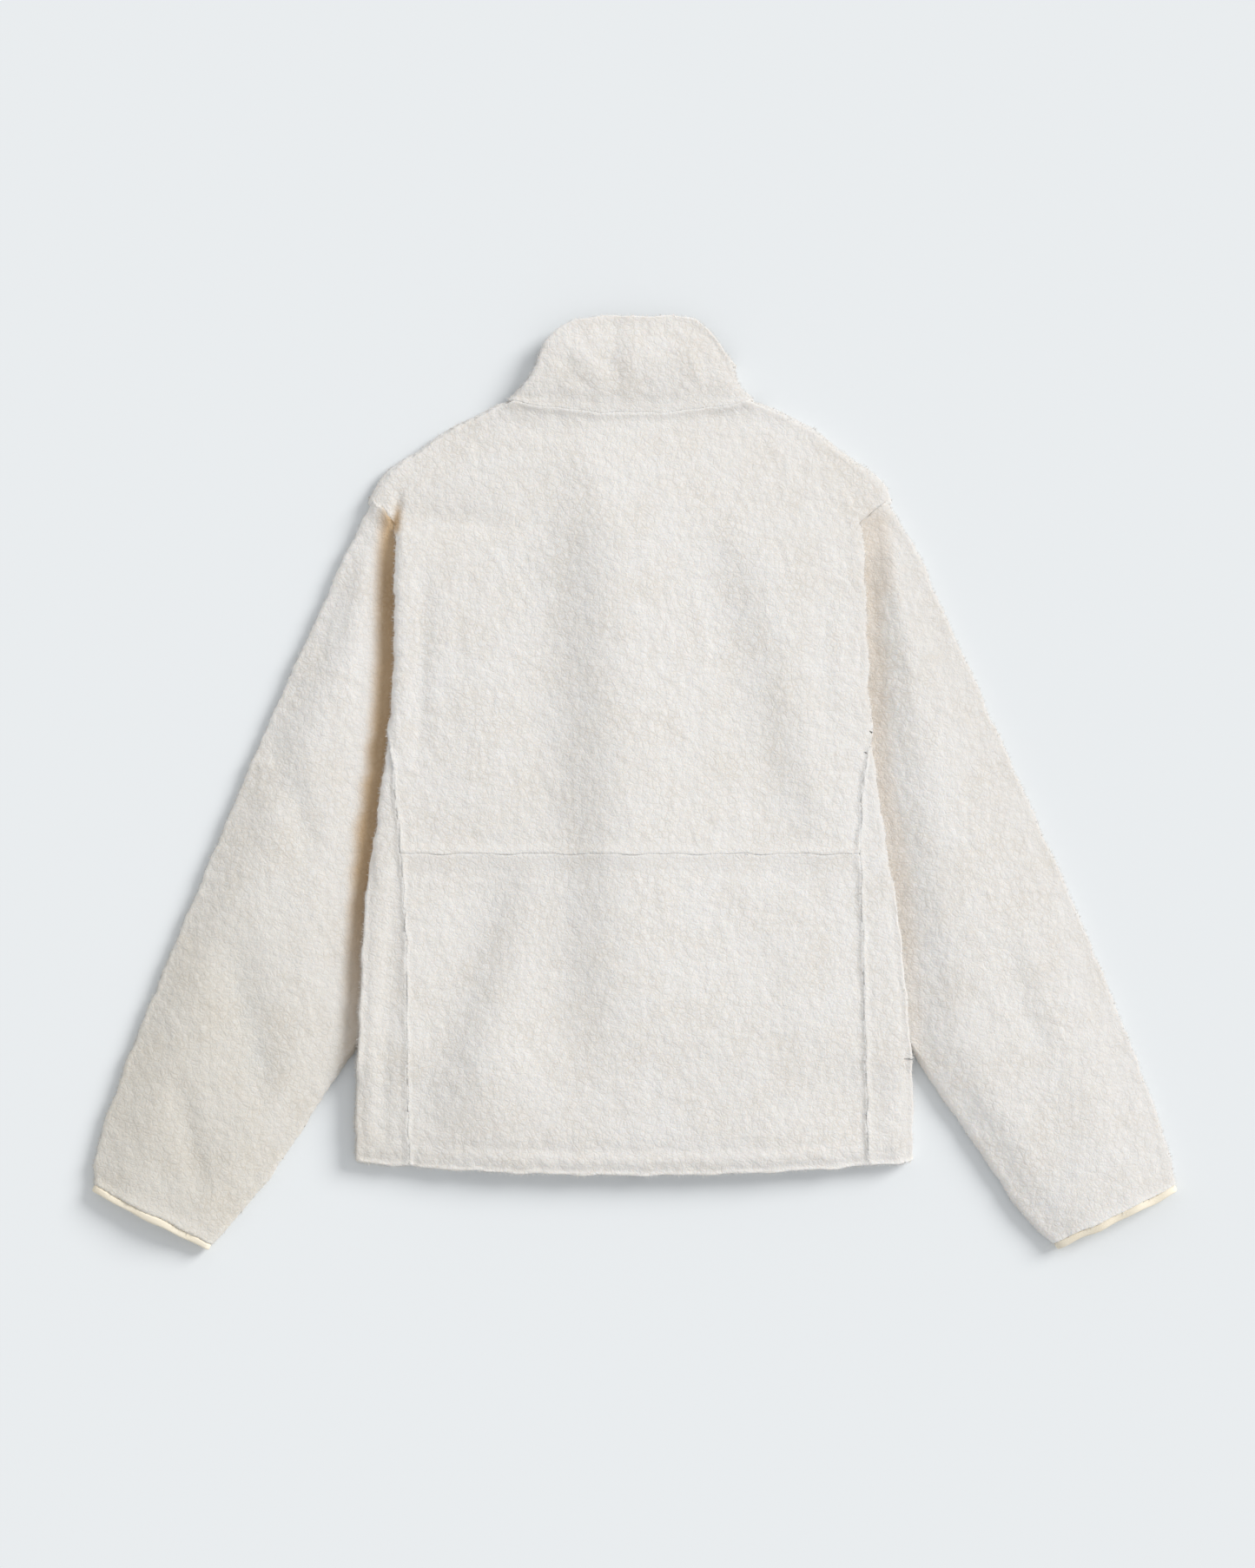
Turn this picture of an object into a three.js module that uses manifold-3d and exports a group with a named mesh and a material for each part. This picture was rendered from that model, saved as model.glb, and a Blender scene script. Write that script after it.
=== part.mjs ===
// A pile fleece jacket laid flat on its front, so that its back faces up.
// Millimetres. +X is to the right of the back, +Y runs up to the collar, +Z is up.
// The rows of every table run from the hem to the neck, and left and right are
// distances out from the centre line.
import * as THREE from 'three';
import Module from 'manifold-3d';
import { mergeVertices } from 'three/addons/utils/BufferGeometryUtils.js';

const wasm = await Module();
wasm.setup();

// Cloth
const wall = 5; // backing and pile together
const seamGap = 0.3;
const bindingWall = 3.5;
const bindingLength = 6;

// Lengths along the body
const hemSideY = -307;
const hemDip = 11; // how far the middle of the hem hangs below its sides
const hemCurve = 60; // over this height the rows take up the hem's curve
const hemHalf = 228;
const hemStitchY = -289;
const stitchDepth = 2;
const stitchWidth = 4;
const yokeSeamY = -57; // the seam across the back
const seamEase = 4;
const princessTopY = 48; // where the side panel reaches the armhole
const sidePanelTopY = 62;
const neckY = 312;
const neckCurveY = 255; // from here up the rows take up the neck's curve
const neckDipBack = 11;
const neckDipFront = 77;
const neckLeft = 103;
const neckRight = 97;
const zipHalf = 7; // half the gap between the two fronts
const shoulderStart = 193; // where the armhole comes out from under the body's edge
const shoulderEnd = 213;
const edgeFall = 120; // the back slopes down to its edge over this width
const foldStop = 30; // and its folds die out here
const foldEnd = 6;

// How high the body lies on the sleeves that are tucked under it
const overSleeve = 11.4;
const rampStart = 29; // where the fronts begin to rise, short of the sleeve's fold
const rampEnd = 12;
const tuckFade = 14; // the height over which the fronts come down above the side panels
const swellWidth = 32; // how far in from its edges a sleeve is fully swollen
const swellFromBody = 26;
const bodyClearance = 3; // between the body's edge and what swells beside it
const hiddenShare = 0.25; // the share of a sleeve's top columns that lie under the body
const leastHidden = 0.16;
const leastCurl = 0.02; // the turn left in a sleeve's fold where it lies open
const armholeLean = 2.4; // how far the sleeve's outer face leans over the body's edge
const leanStart = 6;

// The outline of the body, and its heights: of the back at its middle and at
// its edge, and of the underside at the edge.
const bodyRows = [
  { y: -307, left: 228, right: 227, middle: 17, edge: 13, under: 0 },
  { y: -294, left: 228, right: 227, middle: 22.5, edge: 16, under: 0 },
  { y: -268, left: 227.5, right: 227, middle: 24, edge: 17, under: 0 },
  { y: -245, left: 227, right: 227, middle: 25, edge: 19, under: 2 },
  { y: -225, left: 226, right: 226, middle: 26, edge: 23.5, under: overSleeve },
  { y: -126, left: 221, right: 217, middle: 28, edge: 24.5, under: overSleeve },
  { y: -57, left: 214, right: 208, middle: 29.5, edge: 25, under: overSleeve },
  { y: 0, left: 207, right: 199, middle: 29.5, edge: 25, under: overSleeve },
  { y: 48, left: 200, right: 194, middle: 29.5, edge: 25, under: overSleeve },
  { y: 102, left: 197, right: 192, middle: 29, edge: 25, under: overSleeve },
  { y: 194, left: 196, right: 188, middle: 27.5, edge: 24, under: overSleeve },
  { y: 212, left: 197, right: 187, middle: 26.5, edge: 17, under: 0 },
  { y: 228, left: 217, right: 210, middle: 24.5, edge: 14, under: 0 },
  { y: 243, left: 211, right: 205, middle: 22.8, edge: 13.5, under: 0 },
  { y: 257, left: 198, right: 192, middle: 21.5, edge: 13, under: 0 },
  { y: 272, left: 176, right: 166, middle: 20, edge: 13, under: 0 },
  { y: 286, left: 155, right: 151, middle: 19, edge: 13, under: 0 },
  { y: 300, left: 130, right: 127, middle: 18.2, edge: 14.5, under: 0 },
  { y: 312, left: 103, right: 97, middle: 17.8, edge: 17.8, under: 0 },
];

// The seams that part the side panels from the back and from the fronts
const princessRows = [
  { y: -307, left: 183, right: 190, front: 184 },
  { y: -126, left: 185, right: 185, front: 186 },
  { y: -46, left: 190, right: 183, front: 185 },
  { y: 7, left: 195, right: 186, front: 184 },
  { y: 48, left: 200, right: 194, front: 183 },
  { y: 102, left: 200, right: 194, front: 182 },
  { y: 190, left: 200, right: 194, front: 182 },
];

// The sleeves. Each row is a section across the sleeve, from the cuff to the
// shoulder: where it meets the outer edge and the inner fold, how thick the
// sleeve is at those edges, how much it swells between them, and how far the
// inner fold is closed by the underarm seam.
const sleeveRows = [
  { outerY: -326.7, innerY: -374.7, left: 343.3, right: 341.3, thick: 11.6, swell: 5, closed: 1 },
  { outerY: -296, innerY: -345, left: 316, right: 311, thick: 11.4, swell: 7, closed: 1 },
  { outerY: -257, innerY: -305, left: 285, right: 285, thick: 11.2, swell: 9, closed: 1 },
  { outerY: -215, innerY: -260, left: 257, right: 254, thick: 11, swell: 9.5, closed: 1 },
  { outerY: -170, innerY: -217, left: 227, right: 225, thick: 11, swell: 9.5, closed: 1 },
  { outerY: -125, innerY: -175, left: 198, right: 197, thick: 11, swell: 10, closed: 1 },
  { outerY: -80, innerY: -130, left: 171, right: 170, thick: 11, swell: 10, closed: 1 },
  { outerY: -35, innerY: -85, left: 155, right: 154, thick: 11, swell: 10, closed: 1 },
  { outerY: 10, innerY: -40, left: 154, right: 153, thick: 11, swell: 10, closed: 1 },
  { outerY: 50, innerY: 10, left: 166, right: 165, thick: 11, swell: 10, closed: 1 },
  { outerY: 85, innerY: 52, left: 182, right: 182, thick: 11, swell: 10, closed: 1 },
  { outerY: 112, innerY: 82, left: 184, right: 184, thick: 11, swell: 9.5, closed: 1 },
  { outerY: 138, innerY: 112, left: 184, right: 184, thick: 11, swell: 9.5, closed: 0 },
  { outerY: 178, innerY: 164, left: 184, right: 184, thick: 11, swell: 9, closed: 0 },
  { outerY: 198, innerY: 183, left: 190, right: 185, thick: 11, swell: 6, closed: 0 },
  { outerY: 213, innerY: 197, left: 198.2, right: 190.2, thick: 12, swell: 4, closed: 0 },
  { outerY: 226.3, innerY: 210.5, left: 199.9, right: 190.5, thick: 13, swell: 2, closed: 0 },
];

// The outer edge of the sleeves
const sleeveEdgeRows = [
  { y: -326.7, left: 440.5, right: 441.5 },
  { y: -311, left: 442, right: 440 },
  { y: -282, left: 435, right: 432 },
  { y: -240, left: 420, right: 417 },
  { y: -183, left: 398, right: 395 },
  { y: -112, left: 368, right: 366 },
  { y: -41, left: 338, right: 335 },
  { y: 30, left: 308, right: 303 },
  { y: 101, left: 276, right: 272 },
  { y: 144, left: 256, right: 252 },
  { y: 186, left: 238, right: 234 },
  { y: 215, left: 223, right: 218 },
  { y: 226.3, left: 218.6, right: 211.6 },
];

// The sleeves' inner fold seen from above, which the body rises over
const tuckRows = [
  { y: -260, left: 257, right: 254 },
  { y: -217, left: 227, right: 225 },
  { y: -175, left: 198, right: 197 },
  { y: -130, left: 171, right: 170 },
  { y: -85, left: 155, right: 154 },
  { y: -40, left: 154, right: 153 },
  { y: 10, left: 166, right: 164 },
  { y: 52, left: 182, right: 182 },
  { y: 66, left: 184, right: 184 },
  { y: 84, left: 220, right: 220 },
  { y: 320, left: 400, right: 400 },
];

// Soft folds in what faces up. A height is a ridge, or a trough if negative; a step is
// how much the cloth rises or falls from the fold's line to its right, and as much the
// other way to its left. Each fades in from before its start and out past its end.
const foldBefore = 20;
const foldAfter = 45;
const stepReach = 4.2; // a step dies away over so many widths
const folds = [
  { fromX: -48, fromY: 262, toX: -37, toY: -225, width: 24, height: 0, step: 3.6 },
  { fromX: 72, fromY: 222, toX: 142, toY: -62, width: 19, height: 0, step: 1.9 },
  { fromX: -88, fromY: -52, toX: -156, toY: -278, width: 18, height: 0, step: 2.4 },
  { fromX: -112, fromY: 150, toX: -122, toY: -20, width: 24, height: 1, step: 0 },
  { fromX: 96, fromY: -90, toX: 118, toY: -262, width: 20, height: -1, step: 0 },
  { fromX: 341, fromY: -215, toX: 338, toY: -335, width: 10, height: -2.5, step: 0 },
  { fromX: -408, fromY: -300, toX: -372, toY: -322, width: 8, height: -2.5, step: 0 },
  { fromX: 262, fromY: 96, toX: 318, toY: -122, width: 22, height: -2.5, step: 0 },
];

// The collar: the height of its top edge across the back
const collarTopRows = [
  { x: -82, height: 342 },
  { x: -75, height: 355 },
  { x: -61, height: 370 },
  { x: -46, height: 378 },
  { x: -10, height: 380 },
  { x: 30, height: 379.5 },
  { x: 50, height: 378 },
  { x: 59, height: 373 },
  { x: 67, height: 358 },
  { x: 83, height: 340 },
];
const collarThick = 17;
const collarSwell = 3.5; // at the middle of the back
const collarEdgeSwell = 2.8; // at its two folds
const collarWaist = 3; // how far its folds draw in between the seam and the top
const collarTopLeft = 82;
const collarTopRight = 83;
const collarFrontTopY = 313;
const collarFoldClearance = 2.5; // between the fronts and the turn of its folds
const collarFoldLowY = 274;
const collarFoldHighY = 288;

// The zip down the middle of the fronts, and its slider and pull tab
const tapeHalf = 14;
const tapeThick = 1;
const chainHalf = 2.6;
const chainLow = 3.9;
const zipBottomY = -314;
const zipTopY = 304;
const sliderLength = 12;
const sliderWidth = 9;
const sliderPlate = 1;
const sliderBack = 2.5; // the wall that joins its two plates past the end of the chain
const earWidth = 1;
const earHalfLength = 1.6;
const pinZ = 1.25;
const pinY = 300;
const pinRadius = 0.5;
const eyeHole = 0.75;
const eyeRadius = 1.15;
const tabThick = 1;
const tabWidth = 4;
const tabLength = 20;

const cream = { color: 0xe3dfd8, roughness: 1, metalness: 0 };
const bindingCream = { color: 0xebe0cc, roughness: 0.9, metalness: 0 };
const tapeCream = { color: 0xd9d2c6, roughness: 0.8, metalness: 0 };
const zipMetal = { color: 0xb9b4aa, roughness: 0.35, metalness: 0.9 };

const { PI, abs, min, max, sin, cos, sqrt, hypot } = Math;

function smooth(low, high, value) {
  const t = min(max((value - low) / (high - low), 0), 1);
  return t * t * (3 - 2 * t);
}

function mix(a, b, t) {
  return a + (b - a) * t;
}

// Reads one column of a table at a height y, with no overshoot between rows.
function read(rows, column, y, heightColumn = 'y') {
  const last = rows.length - 1;
  let k = 0;
  while (k < last - 1 && rows[k + 1][heightColumn] < y) k += 1;
  const slope = (i) => {
    if (i < 0 || i >= last) return 0;
    const rise = rows[i + 1][column] - rows[i][column];
    return rise / (rows[i + 1][heightColumn] - rows[i][heightColumn]);
  };
  const tangent = (i) => (slope(i - 1) * slope(i) > 0
    ? (2 * slope(i - 1) * slope(i)) / (slope(i - 1) + slope(i))
    : 0);
  const step = rows[k + 1][heightColumn] - rows[k][heightColumn];
  const t = min(max((y - rows[k][heightColumn]) / step, 0), 1);
  const a = rows[k][column];
  const b = rows[k + 1][column];
  const startTangent = k === 0 ? slope(0) : tangent(k);
  const endTangent = k + 1 === last ? slope(last - 1) : tangent(k + 1);
  const curve = (t * t * t - 2 * t * t + t) * startTangent + (t * t * t - t * t) * endTangent;
  return mix(a, b, t * t * (3 - 2 * t)) + curve * step;
}

// The lift of all the folds at a place, fading out towards each fold's ends
function foldLift(x, y) {
  let lift = 0;
  for (const fold of folds) {
    const dx = fold.toX - fold.fromX;
    const dy = fold.toY - fold.fromY;
    const length = hypot(dx, dy);
    const along = ((x - fold.fromX) * dx + (y - fold.fromY) * dy) / length;
    const right = ((y - fold.fromY) * dx - (x - fold.fromX) * dy) / (length * fold.width);
    const fade = smooth(-foldBefore, foldAfter, along)
      * smooth(length + foldBefore, length - foldAfter, along);
    const step = fold.step * Math.tanh(right) * Math.exp(-((right / stepReach) ** 2));
    lift += fade * (fold.height * Math.exp(-(right ** 2)) + step);
  }
  return lift;
}

// ---- Cloth sheets -------------------------------------------------------------

function clothMesh(name, positions, triangles, look) {
  const geometry = new THREE.BufferGeometry();
  geometry.setAttribute('position', new THREE.Float32BufferAttribute(positions, 3));
  geometry.setIndex(triangles);
  geometry.computeVertexNormals();
  const mesh = new THREE.Mesh(geometry, new THREE.MeshStandardMaterial(look));
  mesh.name = name;
  return mesh;
}

function signedVolume(positions, triangles) {
  const a = new THREE.Vector3();
  const b = new THREE.Vector3();
  const c = new THREE.Vector3();
  let volume = 0;
  for (let i = 0; i < triangles.length; i += 3) {
    a.fromArray(positions, triangles[i] * 3);
    b.fromArray(positions, triangles[i + 1] * 3);
    c.fromArray(positions, triangles[i + 2] * 3);
    volume += a.dot(b.cross(c)) / 6;
  }
  return volume;
}

// A sheet of cloth as a closed wall. point(a, b, depth) gives a place on its
// outer face at depth 0 and on its inner face at the full depth.
function clothSheet(name, across, along, point, look = cream, depth = wall, ring = false) {
  const columns = across.length;
  const rows = along.length;
  const positions = [];
  for (const level of [0, depth]) {
    for (const b of along) {
      for (const a of across) positions.push(...point(a, b, level));
    }
  }
  const index = (i, j, layer) => layer * columns * rows + j * columns + (i % columns);
  const triangles = [];
  const quad = (p, q, r, s) => triangles.push(p, q, r, p, r, s);
  const cells = ring ? columns : columns - 1;
  for (let j = 0; j < rows - 1; j += 1) {
    for (let i = 0; i < cells; i += 1) {
      quad(index(i, j, 0), index(i + 1, j, 0), index(i + 1, j + 1, 0), index(i, j + 1, 0));
      quad(index(i, j, 1), index(i, j + 1, 1), index(i + 1, j + 1, 1), index(i + 1, j, 1));
    }
    if (!ring) {
      const end = columns - 1;
      quad(index(0, j, 1), index(0, j, 0), index(0, j + 1, 0), index(0, j + 1, 1));
      quad(index(end, j, 0), index(end, j, 1), index(end, j + 1, 1), index(end, j + 1, 0));
    }
  }
  for (let i = 0; i < cells; i += 1) {
    const top = rows - 1;
    quad(index(i, 0, 1), index(i + 1, 0, 1), index(i + 1, 0, 0), index(i, 0, 0));
    quad(index(i, top, 0), index(i + 1, top, 0), index(i + 1, top, 1), index(i, top, 1));
  }
  if (signedVolume(positions, triangles) < 0) {
    for (let i = 0; i < triangles.length; i += 3) {
      [triangles[i + 1], triangles[i + 2]] = [triangles[i + 2], triangles[i + 1]];
    }
  }
  return clothMesh(name, positions, triangles, look);
}

function steps(from, to, count) {
  return Array.from({ length: count + 1 }, (_, i) => mix(from, to, i / count));
}

// ---- The body's rings -----------------------------------------------------------

function sideName(side) {
  return side < 0 ? 'left' : 'right';
}

// The rounded edge of the body at one height. The fronts lie on the ground
// beside the armholes, where the back lies on the sleeves.
function bodyEdge(side, y, ofFront) {
  const edge = read(bodyRows, sideName(side), y);
  const top = read(bodyRows, 'edge', y);
  const tucked = smooth(sidePanelTopY + tuckFade - seamEase, sidePanelTopY - seamEase, y);
  const under = read(bodyRows, 'under', y) * (ofFront ? tucked : 1);
  const radius = (top - under) / 2;
  return { edge, top, under, radius, flat: edge - radius, centre: (top + under) / 2 };
}

function neckHalf(side) {
  return side < 0 ? neckLeft : neckRight;
}

// The half width of the front neck at a height
function frontNeckX(side, y) {
  const drop = min(max((neckY - y) / neckDipFront, 0), 1);
  return zipHalf + (neckHalf(side) - zipHalf) * sqrt(1 - drop * drop);
}

function hemLine(x, y) {
  const middle = 1 - (x / hemHalf) ** 2;
  const neck = 1 - (x / neckHalf(x)) ** 2;
  const hemShare = smooth(hemStitchY + hemCurve, hemSideY, y);
  const neckShare = smooth(neckCurveY, neckY, y);
  return y - hemDip * middle * hemShare - neckDipBack * max(neck, 0) * neckShare;
}

function backHeight(x, y, edge) {
  const spread = smooth(edge.flat - edgeFall, edge.flat, abs(x));
  const height = mix(read(bodyRows, 'middle', y), edge.top, spread);
  const foldShare = 1 - smooth(edge.flat - foldStop, edge.flat - foldEnd, abs(x));
  const stitch = stitchDepth * Math.exp(-(((y - hemStitchY) / stitchWidth) ** 2));
  return height + foldLift(x, y) * foldShare - stitch * (1 - spread);
}

function frontHeight(x, y, edge) {
  const fold = read(tuckRows, sideName(x), y);
  const reach = min(fold, edge.flat + 1);
  return edge.under * smooth(reach - rampStart, reach - rampEnd, abs(x));
}

// A place on the back or the side panels, t millimetres round from the middle.
function backPoint(t, y, depth) {
  const side = t < 0 ? -1 : 1;
  const edge = bodyEdge(side, y, false);
  const turned = abs(t) - edge.flat;
  if (turned <= 0) return [t, hemLine(t, y), backHeight(t, y, edge) - depth];
  const halfTurn = PI * edge.radius;
  if (turned <= halfTurn) {
    const angle = turned / edge.radius;
    const radius = edge.radius - depth;
    const x = side * (edge.flat + radius * sin(angle));
    return [x, hemLine(x, y), edge.centre + radius * cos(angle)];
  }
  const x = side * (edge.flat - (turned - halfTurn));
  return [x, hemLine(x, y), frontHeight(x, y, edge) + depth];
}

// A place on a front, t millimetres out from the middle.
function frontPoint(t, y, depth) {
  const side = t < 0 ? -1 : 1;
  const edge = bodyEdge(side, y, true);
  const turned = abs(t) - edge.flat;
  if (turned <= 0) return [t, hemLine(t, y), frontHeight(t, y, edge) + depth];
  const angle = turned / edge.radius;
  const radius = edge.radius - depth;
  const x = side * (edge.flat + radius * sin(angle));
  return [x, hemLine(x, y), edge.centre - radius * cos(angle)];
}

// How far round the back panel reaches: to the princess seam, then over the
// edge onto the sleeve, and at the shoulder to the middle of the edge.
function backReach(side, y) {
  const edge = bodyEdge(side, y, false);
  if (y <= princessTopY) {
    const seam = read(princessRows, sideName(side), y);
    const over = min(max((seam - edge.flat) / edge.radius, 0), 1);
    return seam < edge.flat ? seam : edge.flat + edge.radius * Math.asin(over);
  }
  const tuck = smooth(princessTopY, sidePanelTopY + foldEnd, y)
    - smooth(shoulderStart, shoulderEnd - foldEnd, y);
  const shoulderGap = y > shoulderEnd ? seamGap / 2 : 0;
  return edge.flat + edge.radius * (PI / 2) * (1 + tuck) - shoulderGap;
}

function frontReach(side, y) {
  const seam = read(princessRows, 'front', y);
  const edge = bodyEdge(side, y, true);
  const shoulder = edge.flat + (edge.radius * PI) / 2 - seamGap / 2;
  const onShoulder = smooth(shoulderEnd - seamEase * 2, shoulderEnd + seamEase / 2, y);
  return mix(seam, shoulder, onShoulder) - seamGap;
}

// The heights of the rows that every panel of the body shares, so that they
// meet along their seams.
const lowerHeights = [
  -307, -303, -299, -294, -289, -284, -268, -245, -226, -200, -172, -143, -114, -86,
];
const middleHeights = [-40, -12, 16, 38, 48, 55, 62];
const upperHeights = [74, 100, 130, 160, 185, 200, 207, 213, 221, 229, 243, 257, 272, 286, 300];
const neckHeights = [235, 237, 239.5];
const frontTopHeight = 306;

// The places of the columns across half of the back, closer together at its edge
const shares = [0, 0.13, 0.26, 0.38, 0.5, 0.61, 0.71, 0.79, 0.85, 0.89, 0.92, 0.95, 0.975, 1];
const backShares = [...shares.slice(1).reverse().map((share) => -share), ...shares];

function backPanel(name, heights) {
  return clothSheet(name, backShares, heights, (share, y, depth) => {
    const side = share < 0 ? -1 : 1;
    return backPoint(share * backReach(side, y), y, depth);
  });
}

function sidePanel(side) {
  const heights = [...lowerHeights, yokeSeamY, ...middleHeights];
  return clothSheet(`side_panel_${sideName(side)}`, steps(0, 1, 9), heights, (share, y, depth) => {
    const edge = bodyEdge(side, y, false);
    const start = backReach(side, y) + seamGap;
    const seam = read(princessRows, 'front', y);
    const end = edge.flat * 2 + PI * edge.radius - seam;
    return backPoint(side * mix(start, end, share), y, depth);
  });
}

function frontPanel(side) {
  const heights = [
    ...lowerHeights, yokeSeamY, ...middleHeights, ...upperHeights, ...neckHeights, frontTopHeight,
  ].sort((a, b) => a - b);
  const across = [0, 0.3, 0.55, 0.68, 0.76, 0.82, 0.88, 0.94, 1];
  return clothSheet(`front_${sideName(side)}`, across, heights, (share, y, depth) => {
    const atFold = smooth(collarFoldLowY, collarFoldHighY, y);
    const clearance = y > neckY - neckDipFront ? seamGap + collarFoldClearance * atFold : 0;
    const start = frontNeckX(side, y) + clearance;
    return frontPoint(side * mix(start, frontReach(side, y), share), y, depth);
  });
}

// ---- Sleeves --------------------------------------------------------------------

// A section of the sleeve: its two ends seen from above, and its thicknesses
function sleeveSection(side, station) {
  const numbered = sleeveRows.map((row, i) => ({ ...row, i }));
  const at = (column) => read(numbered, column, station, 'i');
  const outerY = at('outerY');
  const outer = new THREE.Vector2(side * read(sleeveEdgeRows, sideName(side), outerY), outerY);
  const inner = new THREE.Vector2(side * at(sideName(side)), at('innerY'));
  return { outer, inner, radius: at('thick') / 2, swell: at('swell'), closed: at('closed') };
}

// The first columns across the top of a sleeve lie under the body, so that one
// column runs along the body's edge.
function shareOfTop(side, section, share) {
  let low = 0;
  let high = 1;
  for (let i = 0; i < 16; i += 1) {
    const middle = (low + high) / 2;
    const x = mix(section.inner.x, section.outer.x, middle);
    const y = mix(section.inner.y, section.outer.y, middle);
    const hidden = y > hemSideY && abs(x) < read(bodyRows, sideName(side), y) + bodyClearance;
    if (hidden) low = middle;
    else high = middle;
  }
  const edge = max(low, leastHidden);
  return share < hiddenShare
    ? (edge * share) / hiddenShare
    : mix(edge, 1, (share - hiddenShare) / (1 - hiddenShare));
}

// A place on a sleeve's section, round from the underarm seam: zone 0 is the
// turn above it, 1 the top, 2 the outer edge, 3 the underside, 4 the turn below.
function sleevePoint(side, section, around, depth) {
  const { outer, inner, radius, swell, closed } = section;
  const width = outer.distanceTo(inner);
  const zone = min(Math.floor(around), 4);
  const share = around - zone;
  const thin = radius - depth;
  let reach = 0; // distance in from the outer edge
  let height = 0;
  if (zone === 0 || zone === 4) {
    const curl = max(closed, leastCurl);
    const full = zone === 0 ? (radius * PI) / 2 : mix(radius, (radius * PI) / 2, closed);
    const arc = (zone === 0 ? 1 - share : share) * (full - seamGap / 2);
    const turn = (arc * curl) / radius;
    reach = width - radius + (radius / curl - depth) * sin(turn);
    height = radius / curl - (radius / curl - depth) * cos(turn);
    if (zone === 0) height = 2 * radius - height;
  } else if (zone === 2) {
    reach = radius - thin * sin(share * PI);
    height = radius + thin * cos(share * PI);
  } else {
    const inward = zone === 1 ? 1 - shareOfTop(side, section, share) : share;
    reach = mix(radius, width - radius, inward);
    height = zone === 1 ? 2 * radius - depth : depth;
  }
  const away = reach / width;
  const x = mix(outer.x, inner.x, away);
  const y = mix(outer.y, inner.y, away);
  const fromBody = abs(x) - read(bodyRows, sideName(side), y) - bodyClearance;
  const clear = min(y < hemSideY ? width : fromBody, width - reach - radius);
  const swelling = smooth(radius, radius + swellWidth, reach) * smooth(0, swellFromBody, clear);
  if (zone === 1) height += swelling * (swell + foldLift(x, y));
  return [x, y, height];
}

const ringStart = 0.02; // where a closed ring's first column lies, clear of its last

const sleeveAround = [
  ...steps(0, 1, 3).slice(0, -1),
  ...steps(1, 2, 8).slice(0, -1),
  ...steps(2, 3, 4).slice(0, -1),
  ...steps(3, 4, 4).slice(0, -1),
  ...steps(4, 5, 3),
];

// The direction across a section of the sleeve that points to the cuff
function towardsCuff(side, section) {
  const across = section.inner.clone().sub(section.outer).normalize();
  return new THREE.Vector2(-side * across.y, side * across.x);
}

function sleeve(side) {
  const armhole = sleeveRows.length - 1;
  const stations = [
    0, 0.5, 1, 1.5, 2, 2.6, 3.3, 4, 4.7, 5.4, 6.2, 7, 8, 9, 10, 10.6, 11.2, 12, 13, 14, 15, armhole,
  ];
  return clothSheet(`sleeve_${sideName(side)}`, sleeveAround, stations, (around, station, depth) => {
    const section = sleeveSection(side, station);
    const [x, y, z] = sleevePoint(side, section, around, depth);
    const fromInner = hypot(x - section.inner.x, y - section.inner.y);
    const leaning = station === armhole ? smooth(leanStart, leanStart * 2, fromInner) : 0;
    const lean = leaning * armholeLean * (1 - depth / wall);
    const down = towardsCuff(side, section);
    return [x - down.x * lean, y - down.y * lean, z];
  });
}

// The elastic binding round the cuff: a short ring beyond the sleeve's end
function cuffBinding(side) {
  const section = sleeveSection(side, 0);
  const outward = towardsCuff(side, section);
  const around = [ringStart, ...sleeveAround.slice(1, -1)];
  const ring = (place, distance, depth) => {
    const [x, y, z] = sleevePoint(side, section, place, depth);
    return [x + outward.x * distance, y + outward.y * distance, z];
  };
  const distances = [seamGap, seamGap + bindingLength / 2, seamGap + bindingLength];
  const name = `cuff_binding_${sideName(side)}`;
  return clothSheet(name, around, distances, ring, bindingCream, bindingWall, true);
}

// ---- Collar ---------------------------------------------------------------------

function frontNeckY(x) {
  const share = min(max((abs(x) - zipHalf) / (neckHalf(x) - zipHalf), 0), 1);
  return neckY - neckDipFront * sqrt(1 - share * share);
}

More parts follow.
